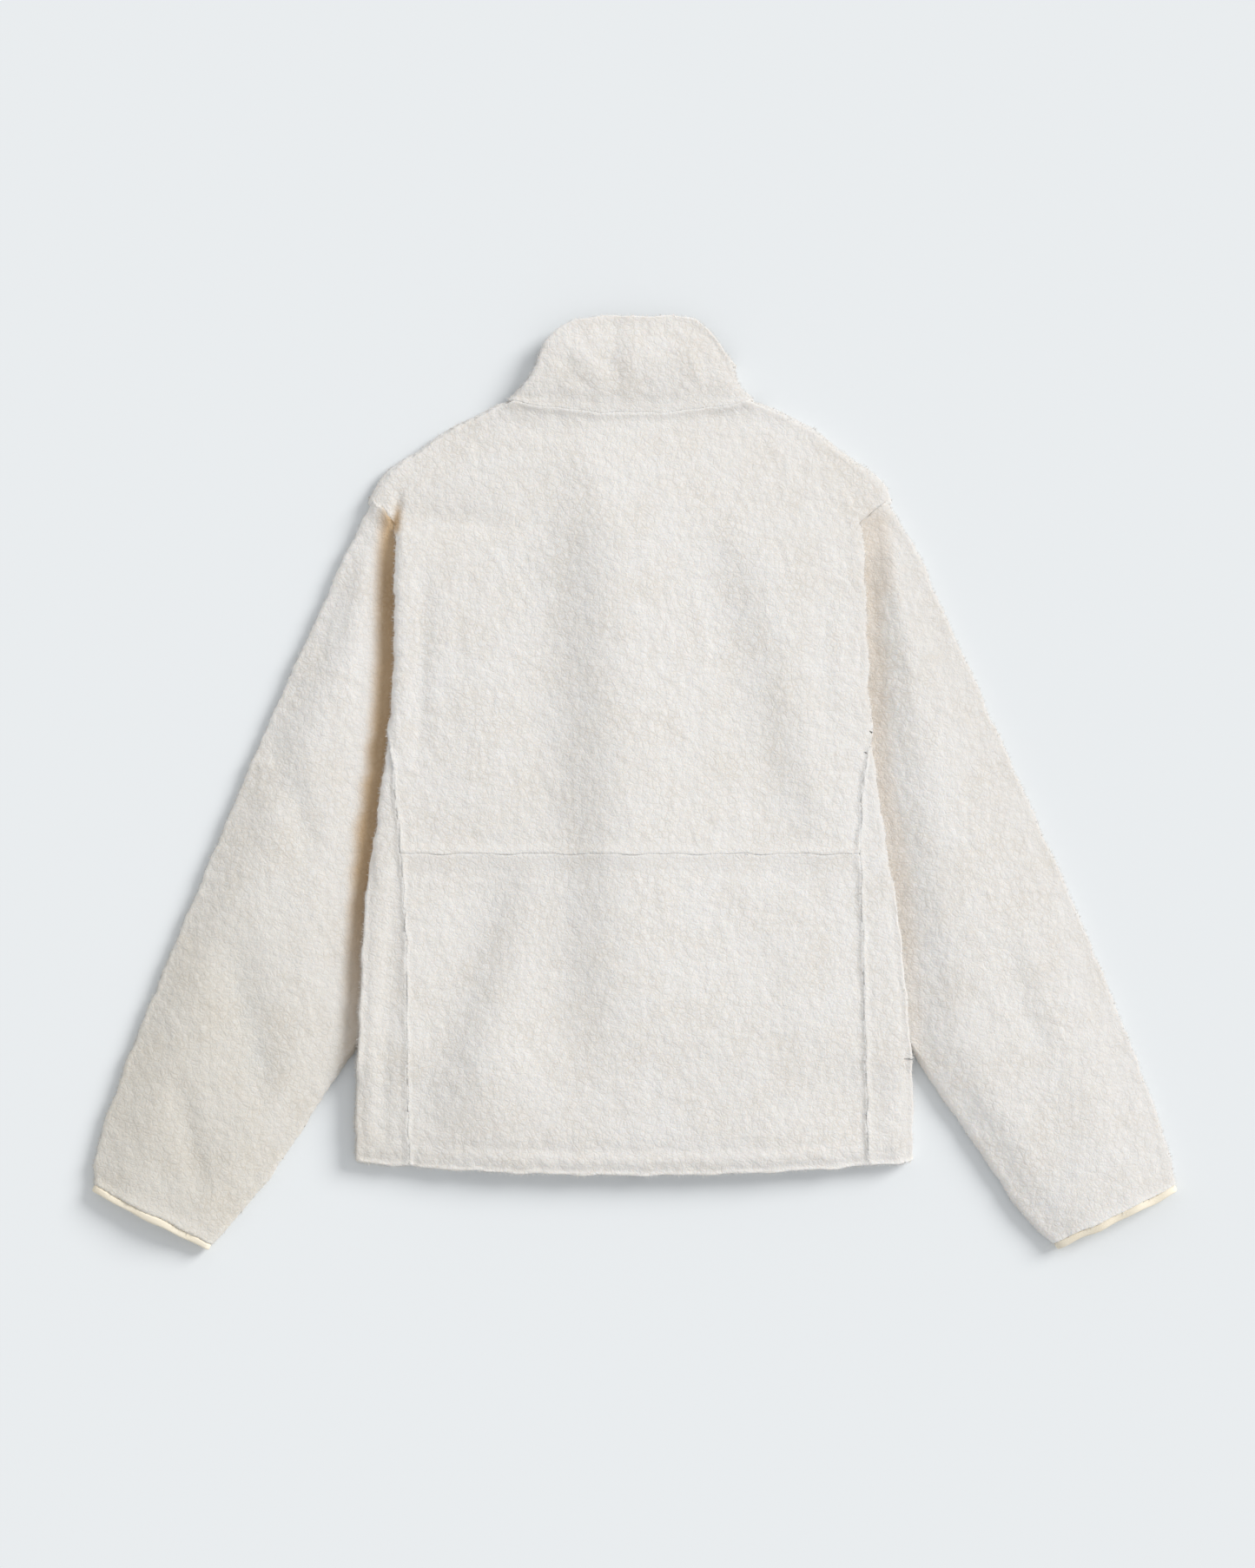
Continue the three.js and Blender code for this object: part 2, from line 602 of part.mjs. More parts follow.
// A place on the collar. around runs 0 to 5: the left front, its turn, the
// back, the right turn and the right front. rise runs from seam to top edge.
function collarPoint(around, rise, depth) {
  const zone = min(Math.floor(around), 4);
  const share = around - zone;
  const side = around < 2.5 ? -1 : 1;
  const thick = collarThick + collarEdgeSwell * sin(PI * rise);
  const radius = thick / 2;
  const seamHalf = neckHalf(side);
  const topHalf = side < 0 ? collarTopLeft : collarTopRight;
  const waist = collarWaist * sin(PI * rise);
  const edge = mix(seamHalf, topHalf, rise) - waist;
  const flat = edge - radius;
  const fold = [1, 3].includes(zone);
  const angle = fold ? PI * (side < 0 ? 1 - share : share) : 0;
  const front = zone === 0 || zone === 4 || angle > PI / 2;
  let x = side * flat;
  let z = 0;
  if (fold) {
    x = side * (flat + (radius - depth) * sin(angle));
    z = radius + (radius - depth) * cos(angle);
  } else if (zone === 2) {
    const leftFlat = mix(neckLeft, collarTopLeft, rise) - waist - radius;
    const rightFlat = mix(neckRight, collarTopRight, rise) - waist - radius;
    x = mix(-leftFlat, rightFlat, share);
    z = thick - depth + collarSwell * sin(PI * share) * sin(PI * rise);
  } else {
    x = side * mix(zipHalf, flat, zone === 0 ? share : 1 - share);
    z = depth;
  }
  // Places on the seam and on the top edge that this strip of the collar joins
  const reach = (abs(x) - zipHalf) / (edge - zipHalf);
  const seamX = side * mix(zipHalf, seamHalf, min(max(reach, 0), 1));
  const backSeam = neckY - neckDipBack * (1 - min((x / edge) ** 2, 1));
  const low = front ? frontNeckY(seamX) : backSeam;
  const foldTop = side < 0 ? collarTopRows[0].height : collarTopRows.at(-1).height;
  const frontTop = mix(collarFrontTopY, foldTop, smooth(0, 1, max(reach, 0)));
  const backTop = read(collarTopRows, 'height', (x / edge) * topHalf, 'x');
  const high = front ? frontTop : backTop;
  return [x, mix(low + seamGap, high, rise), z];
}

// Its front stretches have their columns where the rows of the fronts meet them
function collar() {
  const seamShare = (side, y) => {
    const flat = neckHalf(side) - collarThick / 2;
    return (frontNeckX(side, y) - zipHalf) / (flat - zipHalf);
  };
  const frontHeights = [...neckHeights, 243, 257, 272];
  const around = [
    ...frontHeights.map((y) => seamShare(-1, y)),
    ...steps(1, 2, 6).slice(0, -1),
    ...steps(2, 3, 12).slice(0, -1),
    ...steps(3, 4, 6).slice(0, -1),
    4,
    ...frontHeights.map((y) => 5 - seamShare(1, y)).reverse(),
  ];
  return clothSheet('collar', around, steps(0, 1, 5), collarPoint);
}

// ---- Zip ------------------------------------------------------------------------

// One side of the zip: a flat tape with the thick row of teeth on its edge
function zipTape(side) {
  const profile = new THREE.Shape();
  profile.moveTo(seamGap / 2, chainLow);
  profile.lineTo(chainHalf, chainLow);
  profile.lineTo(chainHalf, wall + seamGap);
  profile.lineTo(tapeHalf, wall + seamGap);
  profile.lineTo(tapeHalf, wall + seamGap + tapeThick);
  profile.lineTo(seamGap / 2, wall + seamGap + tapeThick);
  const length = zipTopY - zipBottomY;
  const geometry = new THREE.ExtrudeGeometry(profile, { depth: length, bevelEnabled: false });
  geometry.rotateX(PI / 2);
  const mesh = new THREE.Mesh(geometry, new THREE.MeshStandardMaterial(tapeCream));
  mesh.name = `zip_tape_${sideName(side)}`;
  mesh.position.y = zipTopY;
  if (side < 0) {
    mesh.geometry.rotateZ(PI);
    mesh.position.y = zipBottomY;
  }
  return mesh;
}

// A profile drawn in Y and Z, given its width along X about the middle
function acrossTheZip(profile, width) {
  const settings = { depth: width, bevelEnabled: false, curveSegments: 10 };
  const geometry = new THREE.ExtrudeGeometry(profile, settings);
  geometry.translate(0, 0, -width / 2);
  // the profile's x becomes Y, its y becomes Z and its depth becomes X
  geometry.applyMatrix4(new THREE.Matrix4().makeBasis(
    new THREE.Vector3(0, 1, 0),
    new THREE.Vector3(0, 0, 1),
    new THREE.Vector3(1, 0, 0),
  ));
  return geometry;
}

function solidOf(geometry) {
  const bare = geometry.clone();
  bare.deleteAttribute('normal');
  bare.deleteAttribute('uv');
  const merged = mergeVertices(bare, 1e-4);
  return new wasm.Manifold(new wasm.Mesh({
    numProp: 3,
    vertProperties: new Float32Array(merged.attributes.position.array),
    triVerts: new Uint32Array(merged.index.array),
  }));
}

function rectangle(y0, y1, z0, z1) {
  const shape = new THREE.Shape();
  shape.moveTo(y0, z0);
  shape.lineTo(y1, z0);
  shape.lineTo(y1, z1);
  shape.lineTo(y0, z1);
  return shape;
}

// The slider: two plates round the chain, joined past its end, with two ears
// and a pin that carry the pull tab
function slider() {
  const topOfTape = wall + seamGap + tapeThick;
  const start = zipTopY + seamGap + sliderBack - sliderLength;
  const end = zipTopY + seamGap + sliderBack;
  const outside = chainLow - seamGap;
  const plates = new THREE.Shape();
  plates.moveTo(start, outside - sliderPlate);
  plates.lineTo(end, outside - sliderPlate);
  plates.lineTo(end, topOfTape + seamGap + sliderPlate);
  plates.lineTo(start, topOfTape + seamGap + sliderPlate);
  plates.lineTo(start, topOfTape + seamGap);
  plates.lineTo(end - sliderBack, topOfTape + seamGap);
  plates.lineTo(end - sliderBack, outside);
  plates.lineTo(start, outside);
  let body = solidOf(acrossTheZip(plates, sliderWidth));
  for (const side of [-1, 1]) {
    const profile = rectangle(pinY - earHalfLength, pinY + earHalfLength, pinZ - pinRadius * 2, outside);
    const ear = acrossTheZip(profile, earWidth);
    ear.translate(side * (tabWidth / 2 + seamGap + earWidth / 2), 0, 0);
    body = body.add(solidOf(ear));
  }
  const pinProfile = new THREE.Shape();
  pinProfile.absarc(pinY, pinZ, pinRadius, 0, 2 * PI);
  body = body.add(solidOf(acrossTheZip(pinProfile, tabWidth + seamGap * 2 + earWidth)));
  const result = body.getMesh();
  return clothMesh('zip_slider', Array.from(result.vertProperties), Array.from(result.triVerts), zipMetal);
}

// The pull tab, lying along the closed zip, with an eye round the slider's pin
function pullTab() {
  const neckAngle = Math.asin(tabThick / 2 / eyeRadius);
  const profile = new THREE.Shape();
  profile.absarc(pinY, pinZ, eyeRadius, -PI + neckAngle, PI - neckAngle);
  profile.lineTo(pinY - tabLength, pinZ + tabThick / 2);
  profile.lineTo(pinY - tabLength, pinZ - tabThick / 2);
  const hole = new THREE.Path();
  hole.absarc(pinY, pinZ, eyeHole, 0, 2 * PI, true);
  profile.holes.push(hole);
  const mesh = new THREE.Mesh(acrossTheZip(profile, tabWidth), new THREE.MeshStandardMaterial(zipMetal));
  mesh.name = 'zip_pull_tab';
  return mesh;
}

const jacket = new THREE.Group();
const yoke = [yokeSeamY + seamGap / 2, ...middleHeights, ...upperHeights, neckY];
jacket.add(backPanel('back_upper', yoke));
jacket.add(backPanel('back_lower', [...lowerHeights, yokeSeamY - seamGap / 2]));
for (const side of [-1, 1]) {
  jacket.add(sidePanel(side));
  jacket.add(frontPanel(side));
  jacket.add(sleeve(side));
  jacket.add(cuffBinding(side));
  jacket.add(zipTape(side));
}
jacket.add(collar());
jacket.add(slider());
jacket.add(pullTab());

// The origin is under the middle of the whole jacket, on the ground.
const box = new THREE.Box3().setFromObject(jacket);
const middle = box.getCenter(new THREE.Vector3());
jacket.position.set(-middle.x, -middle.y, -box.min.z);
export default jacket;
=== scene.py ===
import math

import bpy
import numpy as np
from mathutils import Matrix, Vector
from mathutils.bvhtree import BVHTree


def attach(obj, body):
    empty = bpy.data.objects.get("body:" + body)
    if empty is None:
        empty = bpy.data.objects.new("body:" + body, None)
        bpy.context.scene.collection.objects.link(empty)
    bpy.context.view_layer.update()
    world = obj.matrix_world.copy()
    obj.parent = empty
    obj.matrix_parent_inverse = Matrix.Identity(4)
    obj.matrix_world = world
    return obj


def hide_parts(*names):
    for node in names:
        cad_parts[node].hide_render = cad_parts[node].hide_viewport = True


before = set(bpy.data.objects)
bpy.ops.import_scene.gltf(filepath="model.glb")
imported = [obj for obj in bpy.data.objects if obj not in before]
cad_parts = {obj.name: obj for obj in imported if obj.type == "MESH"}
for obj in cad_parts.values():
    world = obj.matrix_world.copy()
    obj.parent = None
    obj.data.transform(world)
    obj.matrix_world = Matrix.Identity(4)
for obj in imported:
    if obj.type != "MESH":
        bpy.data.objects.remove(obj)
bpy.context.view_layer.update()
bpy.ops.object.select_all(action="DESELECT")


# Small helpers for meshes

def smooth(low, high, value):
    t = np.clip((value - low) / (high - low), 0, 1)
    return t * t * (3 - 2 * t)


def activate(obj):
    bpy.ops.object.select_all(action="DESELECT")
    obj.select_set(True)
    bpy.context.view_layer.objects.active = obj


def points(obj):
    values = np.empty(len(obj.data.vertices) * 3)
    obj.data.vertices.foreach_get("co", values)
    return values.reshape(-1, 3)


def setPoints(obj, values):
    obj.data.vertices.foreach_set("co", values.ravel())
    obj.data.update()


def normals(obj):
    values = np.empty(len(obj.data.vertices) * 3)
    obj.data.vertex_normals.foreach_get("vector", values)
    return values.reshape(-1, 3)


def paint(obj, name, values):
    attribute = obj.data.attributes.get(name) or obj.data.attributes.new(name, "FLOAT", "POINT")
    attribute.data.foreach_set("value", values.astype(np.float32))


def painted(obj, name):
    values = np.empty(len(obj.data.vertices))
    obj.data.attributes[name].data.foreach_get("value", values)
    return values


def sideSign(name):
    return -1 if name.endswith("left") else 1


# Small helpers for node trees

def link(tree, output, socket):
    tree.links.new(output, socket)


def node(tree, kind, **settings):
    made = tree.nodes.new(kind)
    for name, value in settings.items():
        if name in made.inputs:
            made.inputs[name].default_value = value
        else:
            setattr(made, name, value)
    return made


def feed(tree, source, socket):
    if hasattr(source, "is_output"):
        link(tree, source, socket)
    else:
        socket.default_value = source


def maths(tree, operation, first, second, clamp=False):
    made = node(tree, "ShaderNodeMath", operation=operation, use_clamp=clamp)
    feed(tree, first, made.inputs[0])
    feed(tree, second, made.inputs[1])
    return made.outputs["Value"]


def spread(tree, value, fromLow, fromHigh, toLow=0.0, toHigh=1.0, soft=False):
    made = node(tree, "ShaderNodeMapRange")
    if soft:
        made.interpolation_type = "SMOOTHSTEP"
    made.inputs["From Min"].default_value = fromLow
    made.inputs["From Max"].default_value = fromHigh
    made.inputs["To Min"].default_value = toLow
    made.inputs["To Max"].default_value = toHigh
    link(tree, value, made.inputs["Value"])
    return made.outputs["Result"]


def blended(tree, share, first, second, mode="MIX"):
    made = node(tree, "ShaderNodeMix", data_type="RGBA", blend_type=mode)
    feed(tree, share, made.inputs[0])
    feed(tree, first, made.inputs[6])
    feed(tree, second, made.inputs[7])
    return made.outputs[2]


def nodeGroup(name, kind, inputs, outputs):
    tree = bpy.data.node_groups.new(name, kind)
    for label, socket in inputs:
        tree.interface.new_socket(label, in_out="INPUT", socket_type=socket)
    for label, socket in outputs:
        tree.interface.new_socket(label, in_out="OUTPUT", socket_type=socket)
    return tree, tree.nodes.new("NodeGroupInput"), tree.nodes.new("NodeGroupOutput")


def blankMaterial(name):
    material = bpy.data.materials.new(name)
    material.use_nodes = True
    material.node_tree.nodes.clear()
    tree = material.node_tree
    surface = tree.nodes.new("ShaderNodeBsdfPrincipled")
    output = tree.nodes.new("ShaderNodeOutputMaterial")
    link(tree, surface.outputs["BSDF"], output.inputs["Surface"])
    return material, tree, surface


def stirredPlace(tree, place, scale, amount):
    stir = node(tree, "ShaderNodeTexNoise", Scale=scale, Detail=2.0)
    link(tree, place, stir.inputs["Vector"])
    centred = node(tree, "ShaderNodeVectorMath", operation="SUBTRACT")
    link(tree, stir.outputs["Color"], centred.inputs[0])
    centred.inputs[1].default_value = (0.5, 0.5, 0.5)
    moved = node(tree, "ShaderNodeVectorMath", operation="MULTIPLY_ADD")
    link(tree, centred.outputs["Vector"], moved.inputs[0])
    moved.inputs[1].default_value = (amount,) * 3
    link(tree, place, moved.inputs[2])
    return moved.outputs["Vector"]


# The light and the camera, which the stage is set with at the end

studio = {
    "floor": (0.806, 0.838, 0.862),
    "world": 0.62,
    "sun": 2.63,
    "sunFrom": (0.80, 0.52, 0.51),
    "sunAngle": 26,        # degrees across, for soft shadows
    "sunColour": (1.0, 0.985, 0.965),
    "floorSize": 12,
    "floorDrop": 0.0004,
}

camera = {
    "height": 2.9,         # above the surface
    "seen": 1.282,         # the length of surface in the picture, top to bottom
    "lookAt": (-0.0058, -0.0001),
    "sensor": 36,
}


# The pile: its colour and relief, shared by the cloth and its fringe

pile = {
    "colour": (0.808, 0.797, 0.783),
    "groove": (0.68, 0.63, 0.555),     # painted shade in the grooves between the curls
    "fold": (0.70, 0.515, 0.32),       # painted shade: the brownish shadow deep in the fold where a sleeve comes out from under the body
    "foldShadeShow": 1.6,                   # the grooves' painted shade shows so many times more in the fold shade
    "brushed": (0.865, 0.85, 0.805),   # painted shade, darker towards the lower left, where less light falls
    # painted highlight along the seams
    "seam": (0.87, 0.855, 0.83),
    "seamShare": 0.08,
    "grooveLeast": 0.04,               # how much the grooves' painted shade shows, from place to place
    "grooveMost": 0.42,
    "curl": 0.0050,                    # the size of the curls
    "curlShare": 0.5,                  # what the curls, fibres and grain add to the relief
    "fibreShare": 0.3,
    "grainShare": 0.5,
    "fibre": 0.48,                     # the size of the fibres, as a share of a curl's
    "grain": 1000.0,                   # how fine the grain is, and the patches and clouds
    "patches": 30.0,
    "clouds": 7.0,
    "cloud": (0.975, 0.968, 0.955),
    "stir": 0.0040,                    # how far the curls' pattern is stirred
    "stirFineness": 160.0,
    "bump": 0.28,
    "bumpReach": 0.0012,
    "glow": 0.3,                       # how much light passes through the pile
    "glowReach": 0.0035,
    "glowColours": (1.0, 0.85, 0.7),
    "roughness": 0.95,
    "specular": 0.1,
    "sheen": 0.2,
    "sheenRoughness": 0.6,
    "sheenTint": (1.0, 0.97, 0.92),
}


def curlyPileGroup():
    tree, enter, leave = nodeGroup(
        "curlyPile", "ShaderNodeTree",
        [("Colour", "NodeSocketColor"), ("Groove", "NodeSocketColor"), ("Show", "NodeSocketFloat")],
        [("Colour", "NodeSocketColor"), ("Height", "NodeSocketFloat")],
    )
    place = node(tree, "ShaderNodeTexCoord").outputs["Object"]
    stirred = stirredPlace(tree, place, pile["stirFineness"], pile["stir"])

    def cells(size, groove):
        made = node(tree, "ShaderNodeTexVoronoi", feature="DISTANCE_TO_EDGE", Scale=1 / size)
        link(tree, stirred, made.inputs["Vector"])
        return spread(tree, made.outputs["Distance"], 0.0, groove, soft=True)

    def grain(scale, detail):
        made = node(tree, "ShaderNodeTexNoise", Scale=scale, Detail=detail, Roughness=0.6)
        link(tree, place, made.inputs["Vector"])
        return made.outputs["Fac"]

    curls = cells(pile["curl"], 0.26)
    fibres = cells(pile["curl"] * pile["fibre"], 0.3)
    relief = maths(tree, "ADD", maths(tree, "MULTIPLY", curls, pile["curlShare"]),
                   maths(tree, "MULTIPLY", fibres, pile["fibreShare"]))
    fine = maths(tree, "MULTIPLY", grain(pile["grain"], 3.0), pile["grainShare"])
    height = maths(tree, "ADD", relief, fine)
    # the grooves' painted shade shows more in some places than in others
    patches = grain(pile["patches"], 2.0)
    patches = spread(tree, patches, 0.38, 0.66, pile["grooveLeast"], pile["grooveMost"])
    # painted shade in the gaps between the curls
    gap = maths(tree, "SUBTRACT", 1.0, maths(tree, "ADD", maths(tree, "MULTIPLY", curls, 0.7),
                                            maths(tree, "MULTIPLY", fibres, 0.3)))
    showing = maths(tree, "MULTIPLY", patches, enter.outputs["Show"])
    share = maths(tree, "MULTIPLY", gap, showing, clamp=True)
    colour = blended(tree, share, enter.outputs["Colour"], enter.outputs["Groove"])
    cloudy = node(tree, "ShaderNodeValToRGB")
    cloudy.color_ramp.elements[0].position = 0.3
    cloudy.color_ramp.elements[0].color = (*pile["cloud"], 1)
    cloudy.color_ramp.elements[1].position = 0.7
    cloudy.color_ramp.elements[1].color = (1, 1, 1, 1)
    link(tree, grain(pile["clouds"], 2.0), cloudy.inputs["Fac"])
    clouded = blended(tree, 1.0, colour, cloudy.outputs["Color"], "MULTIPLY")
    link(tree, clouded, leave.inputs["Colour"])
    link(tree, height, leave.inputs["Height"])
    return tree


def fleeceMaterial(pileTree):
    material, tree, surface = blankMaterial("pileFleece")
    nap = node(tree, "ShaderNodeGroup")
    nap.node_tree = pileTree
    nap.inputs["Colour"].default_value = (*pile["colour"], 1)
    nap.inputs["Groove"].default_value = (*pile["groove"], 1)
    # painted shade: a brownish shadow colour deep in the folds by the body's edges, where the grooves
    # show more
    depth = node(tree, "ShaderNodeAttribute", attribute_name="foldDepth").outputs["Fac"]
    link(tree, spread(tree, depth, 0.0, 1.0, 1.0, pile["foldShadeShow"]), nap.inputs["Show"])
    rim = node(tree, "ShaderNodeAttribute", attribute_name="rim").outputs["Fac"]
    # painted highlight: the seams' rims are a little paler, like lit ridges
    seamHighlight = spread(tree, rim, 0.7, 1.0, 0.0, pile["seamShare"], soft=True)
    seamHighlighted = blended(tree, seamHighlight, nap.outputs["Colour"], (*pile["seam"], 1))
    # painted shade, darker towards the lower left, where less light falls
    brushed = node(tree, "ShaderNodeAttribute", attribute_name="brushed").outputs["Fac"]
    shaded = blended(tree, brushed, (1, 1, 1, 1), (*pile["brushed"], 1))
    # the painted fold shade tints the colour brownish
    foldShaded = blended(tree, depth, shaded, (*pile["fold"], 1))
    toned = blended(tree, 1.0, seamHighlighted, foldShaded, "MULTIPLY")
    # painted light and shade: slopes facing the sun are painted darker, and those facing away paler
    even = node(tree, "ShaderNodeAttribute", attribute_name="even").outputs["Fac"]
    grey = node(tree, "ShaderNodeCombineColor")
    for channel in grey.inputs[:3]:
        link(tree, even, channel)
    evened = blended(tree, 1.0, toned, grey.outputs["Color"], "MULTIPLY")
    link(tree, evened, surface.inputs["Base Color"])
    bump = node(tree, "ShaderNodeBump", Strength=pile["bump"], Distance=pile["bumpReach"])
    link(tree, nap.outputs["Height"], bump.inputs["Height"])
    link(tree, bump.outputs["Normal"], surface.inputs["Normal"])
    surface.inputs["Roughness"].default_value = pile["roughness"]
    surface.inputs["Sheen Weight"].default_value = pile["sheen"]
    surface.inputs["Sheen Roughness"].default_value = pile["sheenRoughness"]
    surface.inputs["Sheen Tint"].default_value = (*pile["sheenTint"], 1)
    surface.inputs["Specular IOR Level"].default_value = pile["specular"]
    surface.inputs["Subsurface Weight"].default_value = pile["glow"]
    surface.inputs["Subsurface Radius"].default_value = pile["glowColours"]
    surface.inputs["Subsurface Scale"].default_value = pile["glowReach"]
    return material


# The cloth panels: each is its solid's form, made finer, with its soft curls

cloth = {
    "sharpAngle": 60,       # degrees; edges sharper than this are cut edges
    "crease": 0.85,         # how square the cut edges stay
    "closeSeams": 0.0008,   # how far a panel's edge is pressed against the next one
    "slim": 0.0007,         # the curls stand on a form this much slimmer
    "wave": 0.0009,         # how far edges and seams wander
    "curlRise": 0.00045,    # how far the curls stand up
    "curlSize": 1.15,       # as a share of the size of the curls in the pile
    "frizz": 230.0,         # how fine the frizz on the curls and on the lumps is
    "lumpFrizz": 55.0,
    "edgeRise": 2.2,        # the curls stand up so many times more along the outline
    "seamRise": 0.35,       # and so many times less along the seams
    "lump": 0.013,          # the size of the soft lumps that they lie in
    "lumpRise": 0.0003,
    "slopeReach": 3.5,      # a slope dies away over so many widths
    "darkest": 0.70,        # of a slope that faces the light, so that it is no
    "palest": 1.15,         # brighter than the rest, and of one that faces away
    "litMore": 0.05,        # slopes are evened only beyond these limits
    "litLess": 0.16,
    "evenRounds": 8,        # how softly
    "armholePush": 0.0050,  # how far the sleeves' ends are pushed under the shoulders
    "armholeReach": 0.013,
}

# piece: the size of its mesh's faces, flat width, flat length, flat area
clothSizes = {
    "back_upper": (0.0019, 0.446, 0.372, 0.139),
    "back_lower": (0.0019, 0.385, 0.264, 0.096),
    "side_panel_left": (0.0019, 0.120, 0.375, 0.0230),
    "side_panel_right": (0.0019, 0.120, 0.375, 0.0208),
    "front_left": (0.0035, 0.235, 0.630, 0.104),
    "front_right": (0.0035, 0.232, 0.630, 0.104),
    "sleeve_left": (0.0020, 0.420, 0.635, 0.163),
    "sleeve_right": (0.0020, 0.420, 0.635, 0.161),
    "collar": (0.0018, 0.380, 0.145, 0.0254),
}

# The armholes on the right of the back: outer end, inner end, and down the fold
armhole = [Vector((0.2136, 0.2268)), Vector((0.1900, 0.2107)), Vector((0.1860, 0.1880))]

# Small creases that lie on the main folds, in metres: from, to, width, height,
# and whether they are on the upper face or on the lower one
creases = [
    (-0.020, 0.390, -0.016, 0.322, 0.011, -0.0016, 1),
    (-0.066, 0.350, -0.036, 0.322, 0.006, -0.0007, 1),
    (-0.052, 0.372, -0.018, 0.340, 0.006, -0.0007, 1),
    (0.040, 0.372, 0.052, 0.330, 0.010, 0.0012, 1),
    (-0.170, 0.180, -0.176, 0.020, 0.008, -0.0014, 1),
    (-0.1975, 0.200, -0.1920, 0.236, 0.004, -0.0026, 1),
    (-0.330, -0.122, -0.300, -0.264, 0.018, -0.0028, 1),
    (-0.196, -0.090, -0.206, -0.290, 0.008, -0.0020, 1),
    (0.150, 0.170, 0.158, 0.010, 0.010, -0.0012, 1),
    (-0.300, 0.050, -0.260, -0.060, 0.012, -0.0018, 1),
    (-0.372, -0.240, -0.352, -0.330, 0.010, -0.0018, 1),
    (0.392, -0.190, 0.404, -0.300, 0.012, -0.0012, 1),
    (0.300, -0.130, 0.330, -0.215, 0.012, -0.0014, 1),
    (-0.110, -0.050, -0.120, -0.270, 0.012, -0.0008, -1),
    (0.120, 0.140, 0.112, -0.060, 0.012, -0.0008, -1),
    (-0.130, 0.180, -0.118, 0.040, 0.010, -0.0007, -1),
]

# The large folds are already in the solids, and these make their slopes steeper:
# from, to, width, and how much the cloth rises to the right of the line
slopes = [
    (-0.048, 0.262, -0.037, -0.225, 0.022, 0.0026),
    (0.072, 0.222, 0.142, -0.062, 0.018, 0.0016),
    (-0.088, -0.052, -0.156, -0.278, 0.016, 0.0026),
]


def curlsOnCloth():
    tree, enter, leave = nodeGroup(
        "curlsOnCloth", "GeometryNodeTree",
        [("Geometry", "NodeSocketGeometry")], [("Geometry", "NodeSocketGeometry")],
    )
    place = node(tree, "GeometryNodeInputPosition").outputs["Position"]
    stirred = stirredPlace(tree, place, pile["stirFineness"], pile["stir"])

    def dome(size, share, source):
        made = node(tree, "ShaderNodeTexVoronoi", feature="SMOOTH_F1", Scale=1 / size, Smoothness=0.35)
        link(tree, source, made.inputs["Vector"])
        return spread(tree, made.outputs["Distance"], 0.75, 0.1, -share, share)

    def grain(scale, share):
        made = node(tree, "ShaderNodeTexNoise", Scale=scale, Detail=2.0, Roughness=0.55)
        link(tree, place, made.inputs["Vector"])
        return spread(tree, made.outputs["Fac"], 0.25, 0.75, -share, share)

    domes = dome(pile["curl"] * cloth["curlSize"], cloth["curlRise"] * 0.5, stirred)
    curls = maths(tree, "ADD", domes, grain(cloth["frizz"], cloth["curlRise"] * 0.6))
    mounds = dome(cloth["lump"], cloth["lumpRise"] * 0.4, place)
    lumps = maths(tree, "ADD", mounds, grain(cloth["lumpFrizz"], cloth["lumpRise"] * 0.7))
    rim = node(tree, "GeometryNodeInputNamedAttribute", data_type="FLOAT")
    rim.inputs["Name"].default_value = "rim"
    calmer = spread(tree, rim.outputs["Attribute"], 0.3, 0.9, 1.0, cloth["seamRise"], soft=True)
    normal = node(tree, "GeometryNodeInputNormal")
    facing = node(tree, "ShaderNodeSeparateXYZ")
    link(tree, normal.outputs["Normal"], facing.inputs["Vector"])
    steep = maths(tree, "ABSOLUTE", facing.outputs["Z"], 0.0)
    sideways = spread(tree, steep, 0.75, 0.35, 1.0, cloth["edgeRise"], soft=True)
    offset = node(tree, "ShaderNodeVectorMath", operation="SCALE")
    link(tree, normal.outputs["Normal"], offset.inputs[0])
    rise = maths(tree, "MULTIPLY", maths(tree, "ADD", curls, lumps), calmer)
    rise = maths(tree, "MULTIPLY", rise, sideways)
    link(tree, rise, offset.inputs["Scale"])
    moved = node(tree, "GeometryNodeSetPosition")
    link(tree, enter.outputs["Geometry"], moved.inputs["Geometry"])
    link(tree, offset.outputs["Vector"], moved.inputs["Offset"])
    link(tree, moved.outputs["Geometry"], leave.inputs["Geometry"])
    return tree


def markRim(obj):
    values = np.zeros(len(obj.data.vertices))
    creased = np.zeros(len(obj.data.edges))
    obj.data.attributes["crease_edge"].data.foreach_get("value", creased)
    values[edgeEnds(obj)[creased > 0].ravel()] = 1
    paint(obj, "rim", values)


def wander(co):
    # seams and edges wander a little, alike on both sides of a seam, in a long wave
    # and a short one, with lengths in millimetres
    x, y = co[:, 0] * 1000, co[:, 1] * 1000
    moved = co.copy()
    sideways = 0.6 * np.sin(y / 7.1 + x / 31) + 0.4 * np.sin(y / 3.7 + 1.3 + x / 23)
    upwards = 0.6 * np.sin(x / 8.3 + y / 37) + 0.4 * np.sin(x / 4.1 + 0.7 + y / 29)
    moved[:, 0] += cloth["wave"] * sideways
    moved[:, 1] += cloth["wave"] * upwards
    return moved


def alongLine(co, fromX, fromY, toX, toY):
    # how far each point is to the right of a line, and how much the line shows there
    along = Vector((toX - fromX, toY - fromY))
    length = along.length
    along.normalize()
    dx, dy = co[:, 0] - fromX, co[:, 1] - fromY
    run = dx * along.x + dy * along.y
    ends = smooth(-length * 0.2, length * 0.3, run) * smooth(length * 1.2, length * 0.7, run)
    return dy * along.x - dx * along.y, ends


